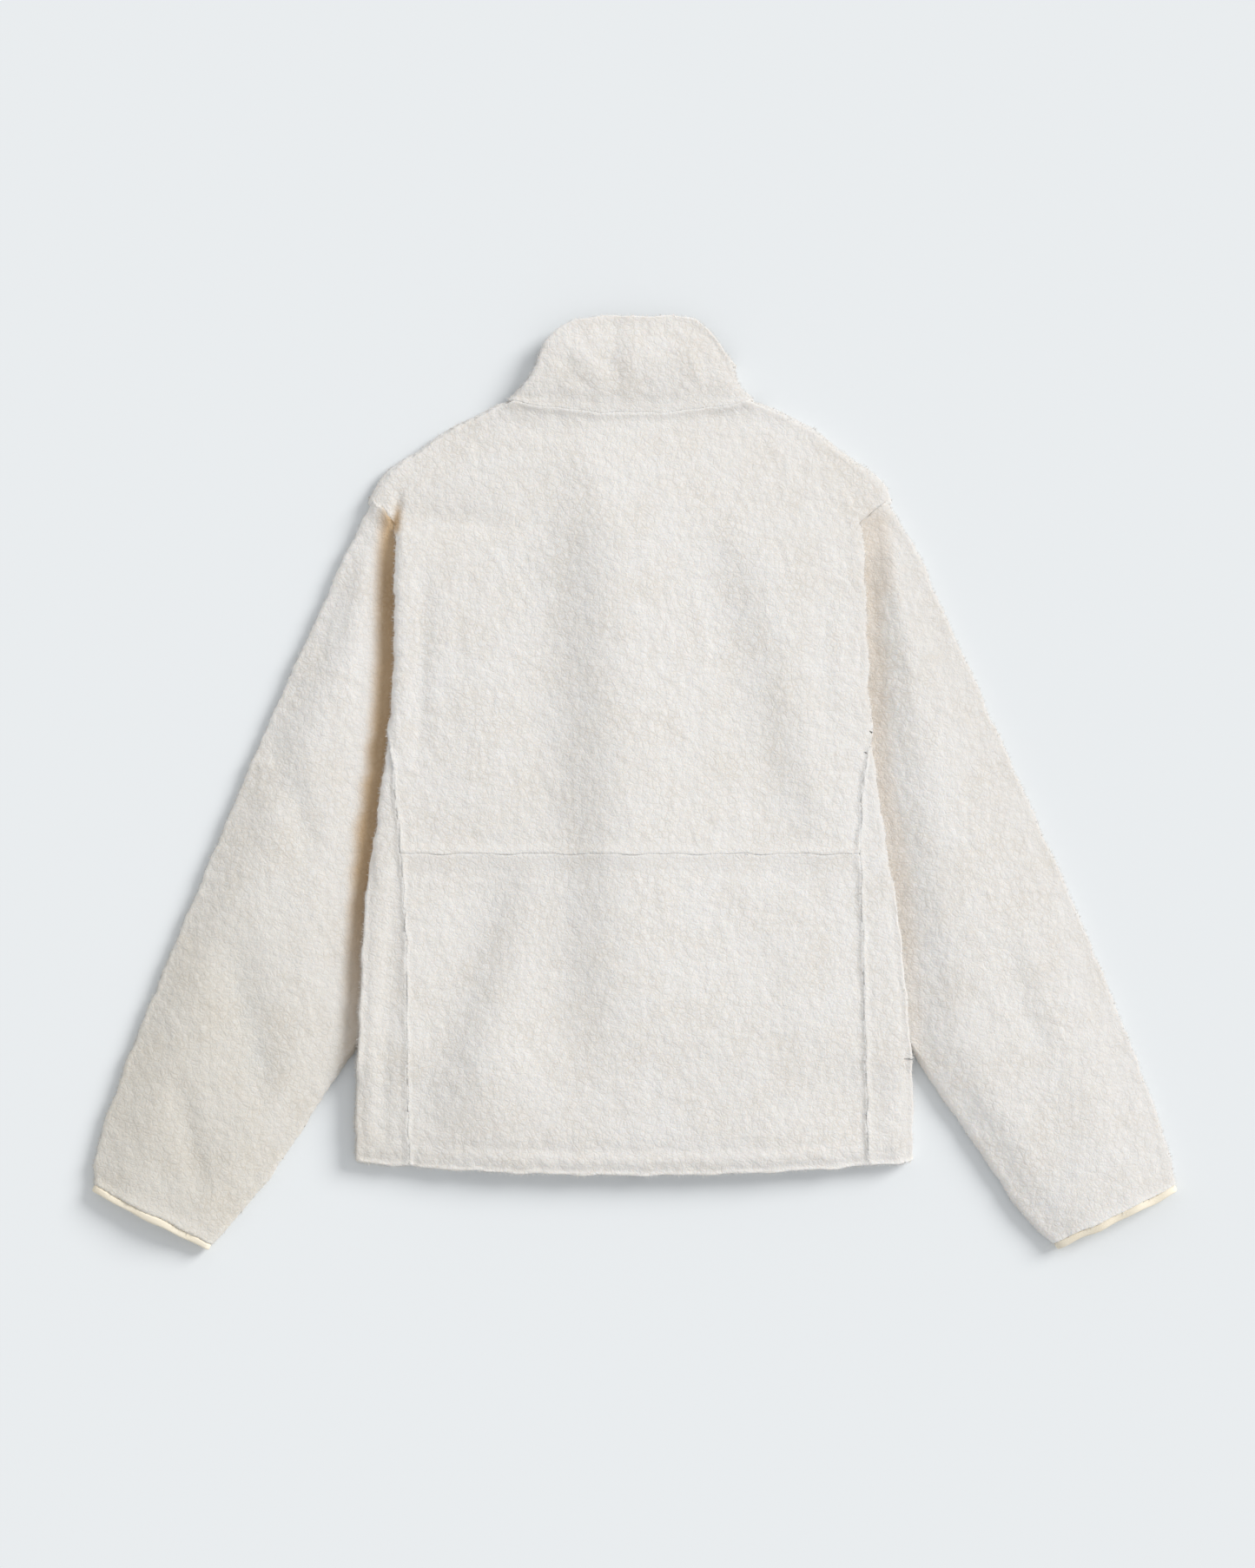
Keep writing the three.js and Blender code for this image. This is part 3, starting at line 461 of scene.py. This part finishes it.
def creaseLift(co, facing):
    lift = np.zeros(len(co))
    for fromX, fromY, toX, toY, width, height, face in creases:
        right, ends = alongLine(co, fromX, fromY, toX, toY)
        onFace = smooth(0.3, 0.8, facing[:, 2] * face)
        lift += face * height * ends * np.exp(-(right / width) ** 2) * onFace
    onBack = smooth(0.012, 0.018, co[:, 2]) * smooth(0.21, 0.17, np.abs(co[:, 0]))
    for fromX, fromY, toX, toY, width, rise in slopes:
        right, ends = alongLine(co, fromX, fromY, toX, toY)
        share = right / width
        lift += rise * ends * onBack * np.tanh(share) * np.exp(-(share / cloth["slopeReach"]) ** 2)
    return lift


def edgeEnds(obj):
    pairs = np.empty(len(obj.data.edges) * 2, int)
    obj.data.edges.foreach_get("vertices", pairs)
    return pairs.reshape(-1, 2)


def blurred(obj, values, rounds):
    one, other = edgeEnds(obj).T
    count = len(values)
    shares = np.bincount(one, minlength=count) + np.bincount(other, minlength=count)
    for _ in range(rounds):
        total = np.bincount(one, values[other], count) + np.bincount(other, values[one], count)
        values = 0.4 * values + 0.6 * total / np.maximum(shares, 1)
    return values


def paintSlopeLightAndShade(obj):
    # painted light and shade: pile scatters the light, so its slopes look more alike than those of a
    # plain cloth, and this is painted into the colour, darker on slopes that face the sun and paler on
    # those that face away
    toSun = np.array(Vector(studio["sunFrom"]).normalized())
    lit = normals(obj) @ toSun
    more = lit - toSun[2]
    beyond = np.maximum(more - cloth["litMore"], 0) + np.minimum(more + cloth["litLess"], 0)
    # but not in the seams above the hem, which stay as fine grooves
    onTop = smooth(0.4, 0.8, painted(obj, "rim")) * (points(obj)[:, 1] > -0.305)
    beyond = np.where(beyond < 0, beyond * (1 - onTop), beyond)
    sun = studio["sun"] / math.pi
    level = studio["world"] + sun * toSun[2]
    values = np.clip(level / (level + sun * beyond), cloth["darkest"], cloth["palest"])
    paint(obj, "even", blurred(obj, values, cloth["evenRounds"]))


def flatUv(obj):
    # the upper faces on the left half of the map, and the lower ones on the right
    mesh = obj.data
    layer = mesh.uv_layers.new(name="flat")
    co = points(obj)
    loops = np.empty(len(mesh.loops), int)
    mesh.loops.foreach_get("vertex_index", loops)
    facing = np.empty(len(mesh.polygons) * 3)
    mesh.polygons.foreach_get("normal", facing)
    counts = np.empty(len(mesh.polygons), int)
    mesh.polygons.foreach_get("loop_total", counts)
    below = np.repeat(facing.reshape(-1, 3)[:, 2] < 0, counts)
    low, high = co.min(0), co.max(0)
    span = max(high[0] - low[0], high[1] - low[1]) * 1.02
    uv = (co[loops, :2] - low[:2]) / span
    uv[:, 0] = uv[:, 0] * 0.49 + np.where(below, 0.5, 0.0)
    layer.data.foreach_set("uv", uv.ravel())


def copyOfNode(name, newName):
    obj = bpy.data.objects.new(newName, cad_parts[name].data.copy())
    bpy.context.collection.objects.link(obj)
    obj.data.materials.clear()
    activate(obj)
    bpy.ops.object.mode_set(mode="EDIT")
    bpy.ops.mesh.select_all(action="SELECT")
    bpy.ops.mesh.remove_doubles(threshold=0.00002)
    bpy.ops.mesh.tris_convert_to_quads(face_threshold=3.1, shape_threshold=3.1)
    bpy.ops.mesh.normals_make_consistent(inside=False)
    bpy.ops.mesh.select_all(action="DESELECT")
    return obj


def refine(obj, levels):
    finer = obj.modifiers.new("finer", "SUBSURF")
    finer.levels = finer.render_levels = levels
    bpy.ops.object.modifier_apply(modifier="finer")


def remesh(obj, size):
    # an even mesh, so that the curls come out alike all over
    obj.data.remesh_voxel_size = size
    obj.data.use_remesh_fix_poles = False
    obj.data.use_remesh_preserve_volume = True
    obj.data.use_remesh_preserve_attributes = True
    bpy.ops.object.voxel_remesh()


def tuckArmhole(name, co):
    # the sleeve's end is pushed in and up under the shoulder, where it is near the armhole
    sign = sideSign(name)
    place = np.column_stack([co[:, 0] * sign, co[:, 1]])
    nearest = np.full(len(co), np.inf)
    for first, second in zip(armhole, armhole[1:]):
        run = np.array(second - first)
        away = place - np.array(first)
        share = np.clip(away @ run / (run @ run), 0, 1)
        nearest = np.minimum(nearest, np.linalg.norm(away - share[:, None] * run, axis=1))
    push = cloth["armholePush"] * smooth(cloth["armholeReach"], 0.003, nearest)
    moved = co.copy()
    moved[:, 0] -= sign * 0.75 * push
    moved[:, 1] += 0.66 * push
    moved[:, 2] += 0.35 * push * (co[:, 2] > 0.006)
    return moved


def keepAbove(obj):
    # nothing reaches down into the surface that the jacket lies on
    co = points(obj)
    co[:, 2] = np.maximum(co[:, 2], 0)
    setPoints(obj, co)


def clothPiece(name, size, curls, material):
    obj = copyOfNode(name, "fleece_" + name)
    bpy.ops.mesh.edges_select_sharp(sharpness=math.radians(cloth["sharpAngle"]))
    bpy.ops.transform.edge_crease(value=cloth["crease"])
    bpy.ops.object.mode_set(mode="OBJECT")
    markRim(obj)
    refine(obj, 2)
    facing = normals(obj)
    nearRim = smooth(0.55, 1, painted(obj, "rim"))
    upper = smooth(-0.6, -0.2, facing[:, 2])
    offset = nearRim * cloth["closeSeams"] - (1 - nearRim) * upper * cloth["slim"]
    co = points(obj) + facing * offset[:, None]
    if name.startswith("sleeve"):
        co = tuckArmhole(name, co)
    setPoints(obj, wander(co))
    remesh(obj, size)
    co = points(obj)
    co[:, 2] += creaseLift(co, normals(obj))
    setPoints(obj, co)
    paintSlopeLightAndShade(obj)
    nap = obj.modifiers.new("nap", "NODES")
    nap.node_group = curls
    bpy.ops.object.modifier_apply(modifier="nap")
    keepAbove(obj)
    flatUv(obj)
    bpy.ops.object.shade_smooth()
    obj.data.materials.append(material)
    return obj


def declareCloth(obj, name):
    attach(obj, "jacket")
    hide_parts(name)
    print("made", obj.name, len(obj.data.polygons))


# Where the sleeves come out from under the body, painted shade: the shadow that the body's edge casts
# on them is painted into the pile's colour, brownish and deep

foldShadePainting = {
    "reach": 0.020,         # how far out from the body's edge it shows
    "leftShare": 0.95,
    "rightShare": 0.22,
    "bottom": -0.29,
    # above the sleeve's top it follows this line, given as Y and X, as a narrow one
    "line": ((0.150, 0.1965), (0.186, 0.1965), (0.2327, 0.1915)),
    "lineTop": 0.236,
    "lineFade": 0.022,
    "lineWidth": 0.0035,
    "pale": (-0.24, -0.06, 0.3),   # between these heights it pales downwards, to this share
}


def bodyEdgeAt(sign):
    # how far out the body's edge is on one side, at heights from the hem to the shoulder
    parts = ["back_upper", "back_lower", "side_panel_left", "side_panel_right"]
    co = np.vstack([points(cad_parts[part]) for part in parts])
    co = co[co[:, 0] * sign > 0]
    heights = np.arange(-0.32, 0.25, 0.01)
    reach = [np.abs(co[np.abs(co[:, 1] - y) < 0.018, 0]).max(initial=0.0) for y in heights]
    lineY, lineX = zip(*foldShadePainting["line"])
    line = np.interp(heights, lineY, lineX)
    return heights, np.where(heights > lineY[0] + 0.01, line, np.array(reach))


def paintFalloffShade(obj):
    # painted shade: the colour darkens towards the lower left and the left sleeve's end, where less
    # light falls
    co = points(obj)
    paint(obj, "brushed", smooth(-0.15, -0.47, 0.9 * co[:, 0] + 0.35 * co[:, 1]))


def paintFoldShade(obj, name):
    # painted shade on the sleeves beside the body's edge, and on the body's sides that face down and
    # out beside them
    co, facing = points(obj), normals(obj)
    depth = np.zeros(len(co))
    top = smooth(foldShadePainting["lineTop"], foldShadePainting["lineTop"] - foldShadePainting["lineFade"], co[:, 1])
    low, high, least = foldShadePainting["pale"]
    paler = least + (1 - least) * smooth(low, high, co[:, 1])
    ends = top * paler * (co[:, 1] > foldShadePainting["bottom"])
    for sign, share in ((-1, foldShadePainting["leftShare"]), (1, foldShadePainting["rightShare"])):
        heights, reach = bodyEdgeAt(sign)
        out = co[:, 0] * sign - np.interp(co[:, 1], heights, reach)
        if name.startswith("sleeve"):
            near = smooth(foldShadePainting["reach"], 0.3 * foldShadePainting["reach"], out) * smooth(-0.02, -0.012, out)
        elif name.startswith("side") or name == "back_upper":
            near = 0.5 * smooth(-0.006, 0.0, out) * smooth(0.35, -0.2, facing[:, 2])
            onLine = np.exp(-(out / foldShadePainting["lineWidth"]) ** 2) * smooth(0.200, 0.208, co[:, 1])
            near = np.maximum(near * (co[:, 1] < 0.2), onLine)
        else:
            near = 0
        depth += near * ends * share * (co[:, 0] * sign > 0)
    paint(obj, "foldDepth", depth)


# The fringe: loose fibres along every edge that stands out against what is behind it

fringe = {
    "length": 0.0021,
    "thick": 0.00024,
    "bend": 0.0006,
    "spacing": 0.0011,
    "density": 900000,      # fibres a square metre, before they are spaced
    "lean": 0.75,           # how far they lean from straight out
    "turn": 3.1,            # and how far they are turned round
    "sizes": (0.6, 1.25),
    "even": 1.05,           # painted light: their colour is painted a little paler, for the light that passes through them
    "clear": 0.0012,        # so far out from the cloth they must have open sky,
    "above": 0.08,          # up to so far above
    "lowest": 0.0015,       # there are none nearer to the surface below than this
}


def oneFibre():
    bpy.ops.mesh.primitive_cone_add(
        vertices=3, radius1=fringe["thick"], radius2=fringe["thick"] * 0.4, depth=fringe["length"],
        end_fill_type="NOTHING", location=(0, 0, fringe["length"] * 0.42),
    )
    fibre = bpy.context.active_object
    fibre.name = "oneFibre"
    bpy.ops.object.transform_apply(location=True, rotation=True, scale=True)
    bpy.ops.object.mode_set(mode="EDIT")
    bpy.ops.mesh.select_all(action="SELECT")
    bpy.ops.mesh.bisect(plane_co=(0, 0, fringe["length"] * 0.45), plane_no=(0, 0, 1))
    bpy.ops.object.mode_set(mode="OBJECT")
    co = points(fibre)
    rise = co[:, 2] / fringe["length"]
    co[:, 0] += fringe["bend"] * np.sin(rise * 2.6)
    co[:, 1] += fringe["bend"] * 0.7 * (1 - np.cos(rise * 3.4))
    setPoints(fibre, co)
    bpy.ops.object.shade_smooth()
    return fibre


def fibresOnEdges(fibre):
    tree, enter, leave = nodeGroup(
        "fibresOnEdges", "GeometryNodeTree",
        [("Geometry", "NodeSocketGeometry")], [("Geometry", "NodeSocketGeometry")],
    )
    scatter = node(tree, "GeometryNodeDistributePointsOnFaces", distribute_method="POISSON")
    scatter.inputs["Distance Min"].default_value = fringe["spacing"]
    scatter.inputs["Density Max"].default_value = fringe["density"]
    weight = node(tree, "GeometryNodeInputNamedAttribute", data_type="FLOAT")
    weight.inputs["Name"].default_value = "fringe"
    link(tree, enter.outputs["Geometry"], scatter.inputs["Mesh"])
    link(tree, weight.outputs["Attribute"], scatter.inputs["Density Factor"])
    shape = node(tree, "GeometryNodeObjectInfo")
    shape.inputs["Object"].default_value = fibre
    chance = node(tree, "FunctionNodeRandomValue", data_type="FLOAT_VECTOR")
    lean, turn = fringe["lean"], fringe["turn"]
    chance.inputs[0].default_value = (-lean, -lean, -turn)
    chance.inputs[1].default_value = (lean, lean, turn)
    turned = node(tree, "FunctionNodeRotateEuler", rotation_type="EULER", space="LOCAL")
    link(tree, scatter.outputs["Rotation"], turned.inputs["Rotation"])
    link(tree, chance.outputs[0], turned.inputs["Rotate By"])
    size = node(tree, "FunctionNodeRandomValue", data_type="FLOAT")
    size.inputs[2].default_value, size.inputs[3].default_value = fringe["sizes"]
    placed = node(tree, "GeometryNodeInstanceOnPoints")
    link(tree, scatter.outputs["Points"], placed.inputs["Points"])
    link(tree, shape.outputs["Geometry"], placed.inputs["Instance"])
    link(tree, turned.outputs["Rotation"], placed.inputs["Rotation"])
    link(tree, size.outputs[1], placed.inputs["Scale"])
    real = node(tree, "GeometryNodeRealizeInstances")
    link(tree, placed.outputs["Instances"], real.inputs["Geometry"])
    link(tree, real.outputs["Geometry"], leave.inputs["Geometry"])
    return tree


def wholeSurface(pieces):
    # all the cloth as one surface, for finding what lies over an edge
    corners, faces, start = [], [], 0
    for obj in pieces:
        co = points(obj)
        loops = np.empty(len(obj.data.loops), int)
        obj.data.loops.foreach_get("vertex_index", loops)
        starts = np.empty(len(obj.data.polygons), int)
        obj.data.polygons.foreach_get("loop_start", starts)
        faces += (loops.reshape(-1, 4) + start).tolist() if len(loops) == len(starts) * 4 else [
            [v + start for v in face.vertices] for face in obj.data.polygons
        ]
        corners.append(co)
        start += len(co)
    return BVHTree.FromPolygons(np.vstack(corners).tolist(), faces)


def paintFringe(obj, surface):
    co, facing = points(obj), normals(obj)
    side = smooth(-0.3, 0.0, facing[:, 2]) * smooth(0.6, 0.3, facing[:, 2])
    side = side * (co[:, 2] > fringe["lowest"])
    up = Vector((0, 0, 1))
    for i in np.nonzero(side > 0)[0]:
        start = Vector(co[i] + facing[i] * fringe["clear"])
        if surface.ray_cast(start, up, fringe["above"])[0] is not None:
            side[i] = 0
    paint(obj, "fringe", side)


def fringeOf(pieces, material):
    fibre = oneFibre()
    tree = fibresOnEdges(fibre)
    surface = wholeSurface(pieces)
    parts = []
    for obj in pieces:
        paintFringe(obj, surface)
        part = bpy.data.objects.new("fringe_" + obj.name, obj.data.copy())
        bpy.context.collection.objects.link(part)
        obj.data.attributes.remove(obj.data.attributes["fringe"])
        activate(part)
        edges = part.modifiers.new("edges", "NODES")
        edges.node_group = tree
        bpy.ops.object.modifier_apply(modifier="edges")
        if len(part.data.polygons) > 0:
            parts.append(part)
        else:
            bpy.data.objects.remove(part)
    activate(parts[0])
    for part in parts:
        part.select_set(True)
    bpy.ops.object.join()
    whole = bpy.context.active_object
    whole.name = "fleece_fringe"
    paint(whole, "even", np.full(len(whole.data.vertices), fringe["even"]))
    bpy.data.objects.remove(fibre)
    keepAbove(whole)
    for layer in list(whole.data.uv_layers):
        whole.data.uv_layers.remove(layer)
    flatUv(whole)
    whole.data.materials.clear()
    whole.data.materials.append(material)
    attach(whole, "jacket")
    print("made", whole.name, len(whole.data.polygons))


# The elastic bindings round the cuffs

binding = {
    "colour": (0.90, 0.835, 0.70),
    "shade": (0.78, 0.69, 0.53),
    "ribs": 0.0011,             # from rib to rib
    "strip": (0.222, 0.010),    # as it lies flat, turned over the cloth's edge
    "area": 0.0019,
    "wave": 0.0007,             # how far the upper side waves up and down
    "waveLength": 5.3,
}


def wovenGroup():
    tree, enter, leave = nodeGroup(
        "wovenRibs", "ShaderNodeTree",
        [("Colour", "NodeSocketColor"), ("Shade", "NodeSocketColor"), ("Ribs", "NodeSocketFloat")],
        [("Colour", "NodeSocketColor"), ("Height", "NodeSocketFloat")],
    )
    place = node(tree, "ShaderNodeTexCoord").outputs["Object"]
    grain = node(tree, "ShaderNodeTexNoise", Scale=2200.0, Detail=2.0, Roughness=0.6)
    patches = node(tree, "ShaderNodeTexNoise", Scale=60.0, Detail=2.0)
    ribs = node(tree, "ShaderNodeTexVoronoi", feature="DISTANCE_TO_EDGE")
    for texture in (grain, patches, ribs):
        link(tree, place, texture.inputs["Vector"])
    link(tree, enter.outputs["Ribs"], ribs.inputs["Scale"])
    raised = spread(tree, ribs.outputs["Distance"], 0.0, 0.3, soft=True)
    height = maths(tree, "ADD", maths(tree, "MULTIPLY", raised, 0.7),
                   maths(tree, "MULTIPLY", grain.outputs["Fac"], 0.5))
    # painted shade in the hollows between the ribs, stronger in some patches than in others
    low = maths(tree, "SUBTRACT", 1.0, raised)
    wearAndShade = spread(tree, patches.outputs["Fac"], 0.4, 0.65, 0.15, 0.6)
    colour = blended(tree, maths(tree, "MULTIPLY", low, wearAndShade, clamp=True),
                     enter.outputs["Colour"], enter.outputs["Shade"])
    link(tree, colour, leave.inputs["Colour"])
    link(tree, height, leave.inputs["Height"])
    return tree


def wovenMaterial(name, wovenTree, colour, shade, ribs):
    material, tree, surface = blankMaterial(name)
    weave = node(tree, "ShaderNodeGroup")
    weave.node_tree = wovenTree
    weave.inputs["Colour"].default_value = (*colour, 1)
    weave.inputs["Shade"].default_value = (*shade, 1)
    weave.inputs["Ribs"].default_value = 1 / ribs
    bump = node(tree, "ShaderNodeBump", Strength=0.4, Distance=0.0004)
    link(tree, weave.outputs["Colour"], surface.inputs["Base Color"])
    link(tree, weave.outputs["Height"], bump.inputs["Height"])
    link(tree, bump.outputs["Normal"], surface.inputs["Normal"])
    surface.inputs["Roughness"].default_value = 0.85
    surface.inputs["Specular IOR Level"].default_value = 0.2
    return material


def cuffBinding(name, material):
    obj = copyOfNode(name, "elastic_" + name)
    bpy.ops.object.mode_set(mode="OBJECT")
    refine(obj, 2)
    co = wander(points(obj))
    wave = np.sin(co[:, 0] * 1000 / binding["waveLength"] + co[:, 1] * 90)
    co[:, 2] += binding["wave"] * wave * smooth(0.003, 0.008, co[:, 2])
    setPoints(obj, co)
    keepAbove(obj)
    flatUv(obj)
    bpy.ops.object.shade_smooth()
    obj.data.materials.append(material)
    declareCloth(obj, name)


# The zip: woven tapes with moulded teeth, and a satin metal slider and tab

zipLook = {
    "tape": (0.80, 0.76, 0.69),
    "tapeShade": (0.66, 0.61, 0.53),
    "tapeRibs": 0.0009,
    "teeth": (0.82, 0.785, 0.72),
    "metal": (0.60, 0.58, 0.53),
    "pitch": 0.0025,                     # from tooth to tooth
    "tooth": (0.0031, 0.0011, 0.0026),   # across the chain, along it, and through it
    "past": 0.0004,                      # how far a tooth reaches past the tape's edge
    "bevel": 0.0003,
}


def toothMaterial():
    material, tree, surface = blankMaterial("zipTeeth")
    place = node(tree, "ShaderNodeTexCoord").outputs["Object"]
    scuffs = node(tree, "ShaderNodeTexNoise", Scale=700.0, Detail=3.0)
    link(tree, place, scuffs.inputs["Vector"])
    dark = tuple(0.88 * part for part in zipLook["teeth"])
    wearAndShade = spread(tree, scuffs.outputs["Fac"], 0.35, 0.65)
    link(tree, blended(tree, wearAndShade, (*zipLook["teeth"], 1), (*dark, 1)), surface.inputs["Base Color"])
    link(tree, spread(tree, scuffs.outputs["Fac"], 0.3, 0.7, 0.38, 0.55), surface.inputs["Roughness"])
    return material


def metalMaterial():
    material, tree, surface = blankMaterial("satinMetal")
    place = node(tree, "ShaderNodeTexCoord").outputs["Object"]
    brushed = node(tree, "ShaderNodeTexNoise", Scale=500.0, Detail=4.0, Roughness=0.7)
    stretched = node(tree, "ShaderNodeMapping")
    stretched.inputs["Scale"].default_value = (4.0, 0.4, 4.0)
    link(tree, place, stretched.inputs["Vector"])
    link(tree, stretched.outputs["Vector"], brushed.inputs["Vector"])
    dull = tuple(0.8 * part for part in zipLook["metal"])
    wearAndShade = spread(tree, brushed.outputs["Fac"], 0.35, 0.7)
    link(tree, blended(tree, wearAndShade, (*zipLook["metal"], 1), (*dull, 1)), surface.inputs["Base Color"])
    link(tree, spread(tree, brushed.outputs["Fac"], 0.3, 0.7, 0.28, 0.45), surface.inputs["Roughness"])
    bump = node(tree, "ShaderNodeBump", Strength=0.15, Distance=0.0001)
    link(tree, brushed.outputs["Fac"], bump.inputs["Height"])
    link(tree, bump.outputs["Normal"], surface.inputs["Normal"])
    surface.inputs["Metallic"].default_value = 0.9
    return material


def zipTeeth(name, material):
    co = points(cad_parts[name])
    low, high = co.min(0), co.max(0)
    sign = sideSign(name)
    middle = high[0] if sign < 0 else low[0]
    width, length, depth = zipLook["tooth"]
    pitch = zipLook["pitch"]
    start = low[1] + pitch * (0.75 if sign < 0 else 1.25)
    bpy.ops.mesh.primitive_cube_add(
        size=1, location=(middle + sign * (width / 2 - zipLook["past"]), start, (low[2] + high[2]) / 2),
    )
    teeth = bpy.context.active_object
    teeth.name = "zip_teeth_" + ("left" if sign < 0 else "right")
    teeth.scale = (width, length, depth)
    bpy.ops.object.transform_apply(location=True, rotation=True, scale=True)
    bpy.ops.object.mode_set(mode="EDIT")
    bpy.ops.mesh.select_all(action="SELECT")
    bpy.ops.mesh.bevel(offset=zipLook["bevel"], segments=1, affect="EDGES")
    bpy.ops.object.mode_set(mode="OBJECT")
    row = teeth.modifiers.new("row", "ARRAY")
    row.use_relative_offset = False
    row.use_constant_offset = True
    row.constant_offset_displace = (0, pitch, 0)
    row.count = int((high[1] - low[1] - 2 * pitch) / pitch)
    bpy.ops.object.modifier_apply(modifier="row")
    bpy.ops.object.shade_smooth()
    flatUv(teeth)
    teeth.data.materials.append(material)
    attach(teeth, "jacket")
    print("made", teeth.name, len(teeth.data.polygons))


def dressNode(name, material):
    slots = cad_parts[name].data.materials
    slots.clear()
    slots.append(material)


# The stage

def stageFloor():
    bpy.ops.mesh.primitive_plane_add(size=studio["floorSize"], location=(0, 0, -studio["floorDrop"]))
    floor = bpy.context.active_object
    floor.name = "floor"
    material, _, surface = blankMaterial("paleSurface")
    surface.inputs["Base Color"].default_value = (*studio["floor"], 1)
    surface.inputs["Roughness"].default_value = 0.9
    surface.inputs["Specular IOR Level"].default_value = 0.0
    floor.data.materials.append(material)


def stageLights():
    world = bpy.data.worlds.new("studio")
    world.use_nodes = True
    background = world.node_tree.nodes["Background"]
    background.inputs["Color"].default_value = (1, 1, 1, 1)
    background.inputs["Strength"].default_value = studio["world"]
    bpy.context.scene.world = world
    bpy.ops.object.light_add(type="SUN", location=studio["sunFrom"])
    sun = bpy.context.active_object
    sun.data.energy = studio["sun"]
    sun.data.angle = math.radians(studio["sunAngle"])
    sun.data.color = studio["sunColour"]
    sun.rotation_euler = (-Vector(studio["sunFrom"])).to_track_quat("-Z", "Y").to_euler()


def stageCamera():
    x, y = camera["lookAt"]
    bpy.ops.object.camera_add(location=(x, y, camera["height"]), rotation=(0, 0, 0))
    view = bpy.context.active_object
    view.data.sensor_width = camera["sensor"]
    view.data.lens = camera["sensor"] * camera["height"] / camera["seen"]
    bpy.context.scene.camera = view


stageCamera()
stageFloor()
stageLights()
bpy.context.scene.view_settings.view_transform = "Standard"
print("stage ready")

fleece = fleeceMaterial(curlyPileGroup())
curls = curlsOnCloth()
panels = {name: clothPiece(name, sizes[0], curls, fleece) for name, sizes in clothSizes.items()}
for name, panel in panels.items():
    paintFoldShade(panel, name)
    paintFalloffShade(panel)
    declareCloth(panel, name)
print("cloth ready")

fringeOf(list(panels.values()), fleece)
print("fringe ready")

woven = wovenGroup()
elastic = wovenMaterial("elasticBinding", woven, binding["colour"], binding["shade"], binding["ribs"])
tape = wovenMaterial("zipTape", woven, zipLook["tape"], zipLook["tapeShade"], zipLook["tapeRibs"])
teeth = toothMaterial()
for side in ("left", "right"):
    cuffBinding("cuff_binding_" + side, elastic)
    dressNode("zip_tape_" + side, tape)
    zipTeeth("zip_tape_" + side, teeth)
metal = metalMaterial()
dressNode("zip_slider", metal)
dressNode("zip_pull_tab", metal)
print("bindings and zip ready")
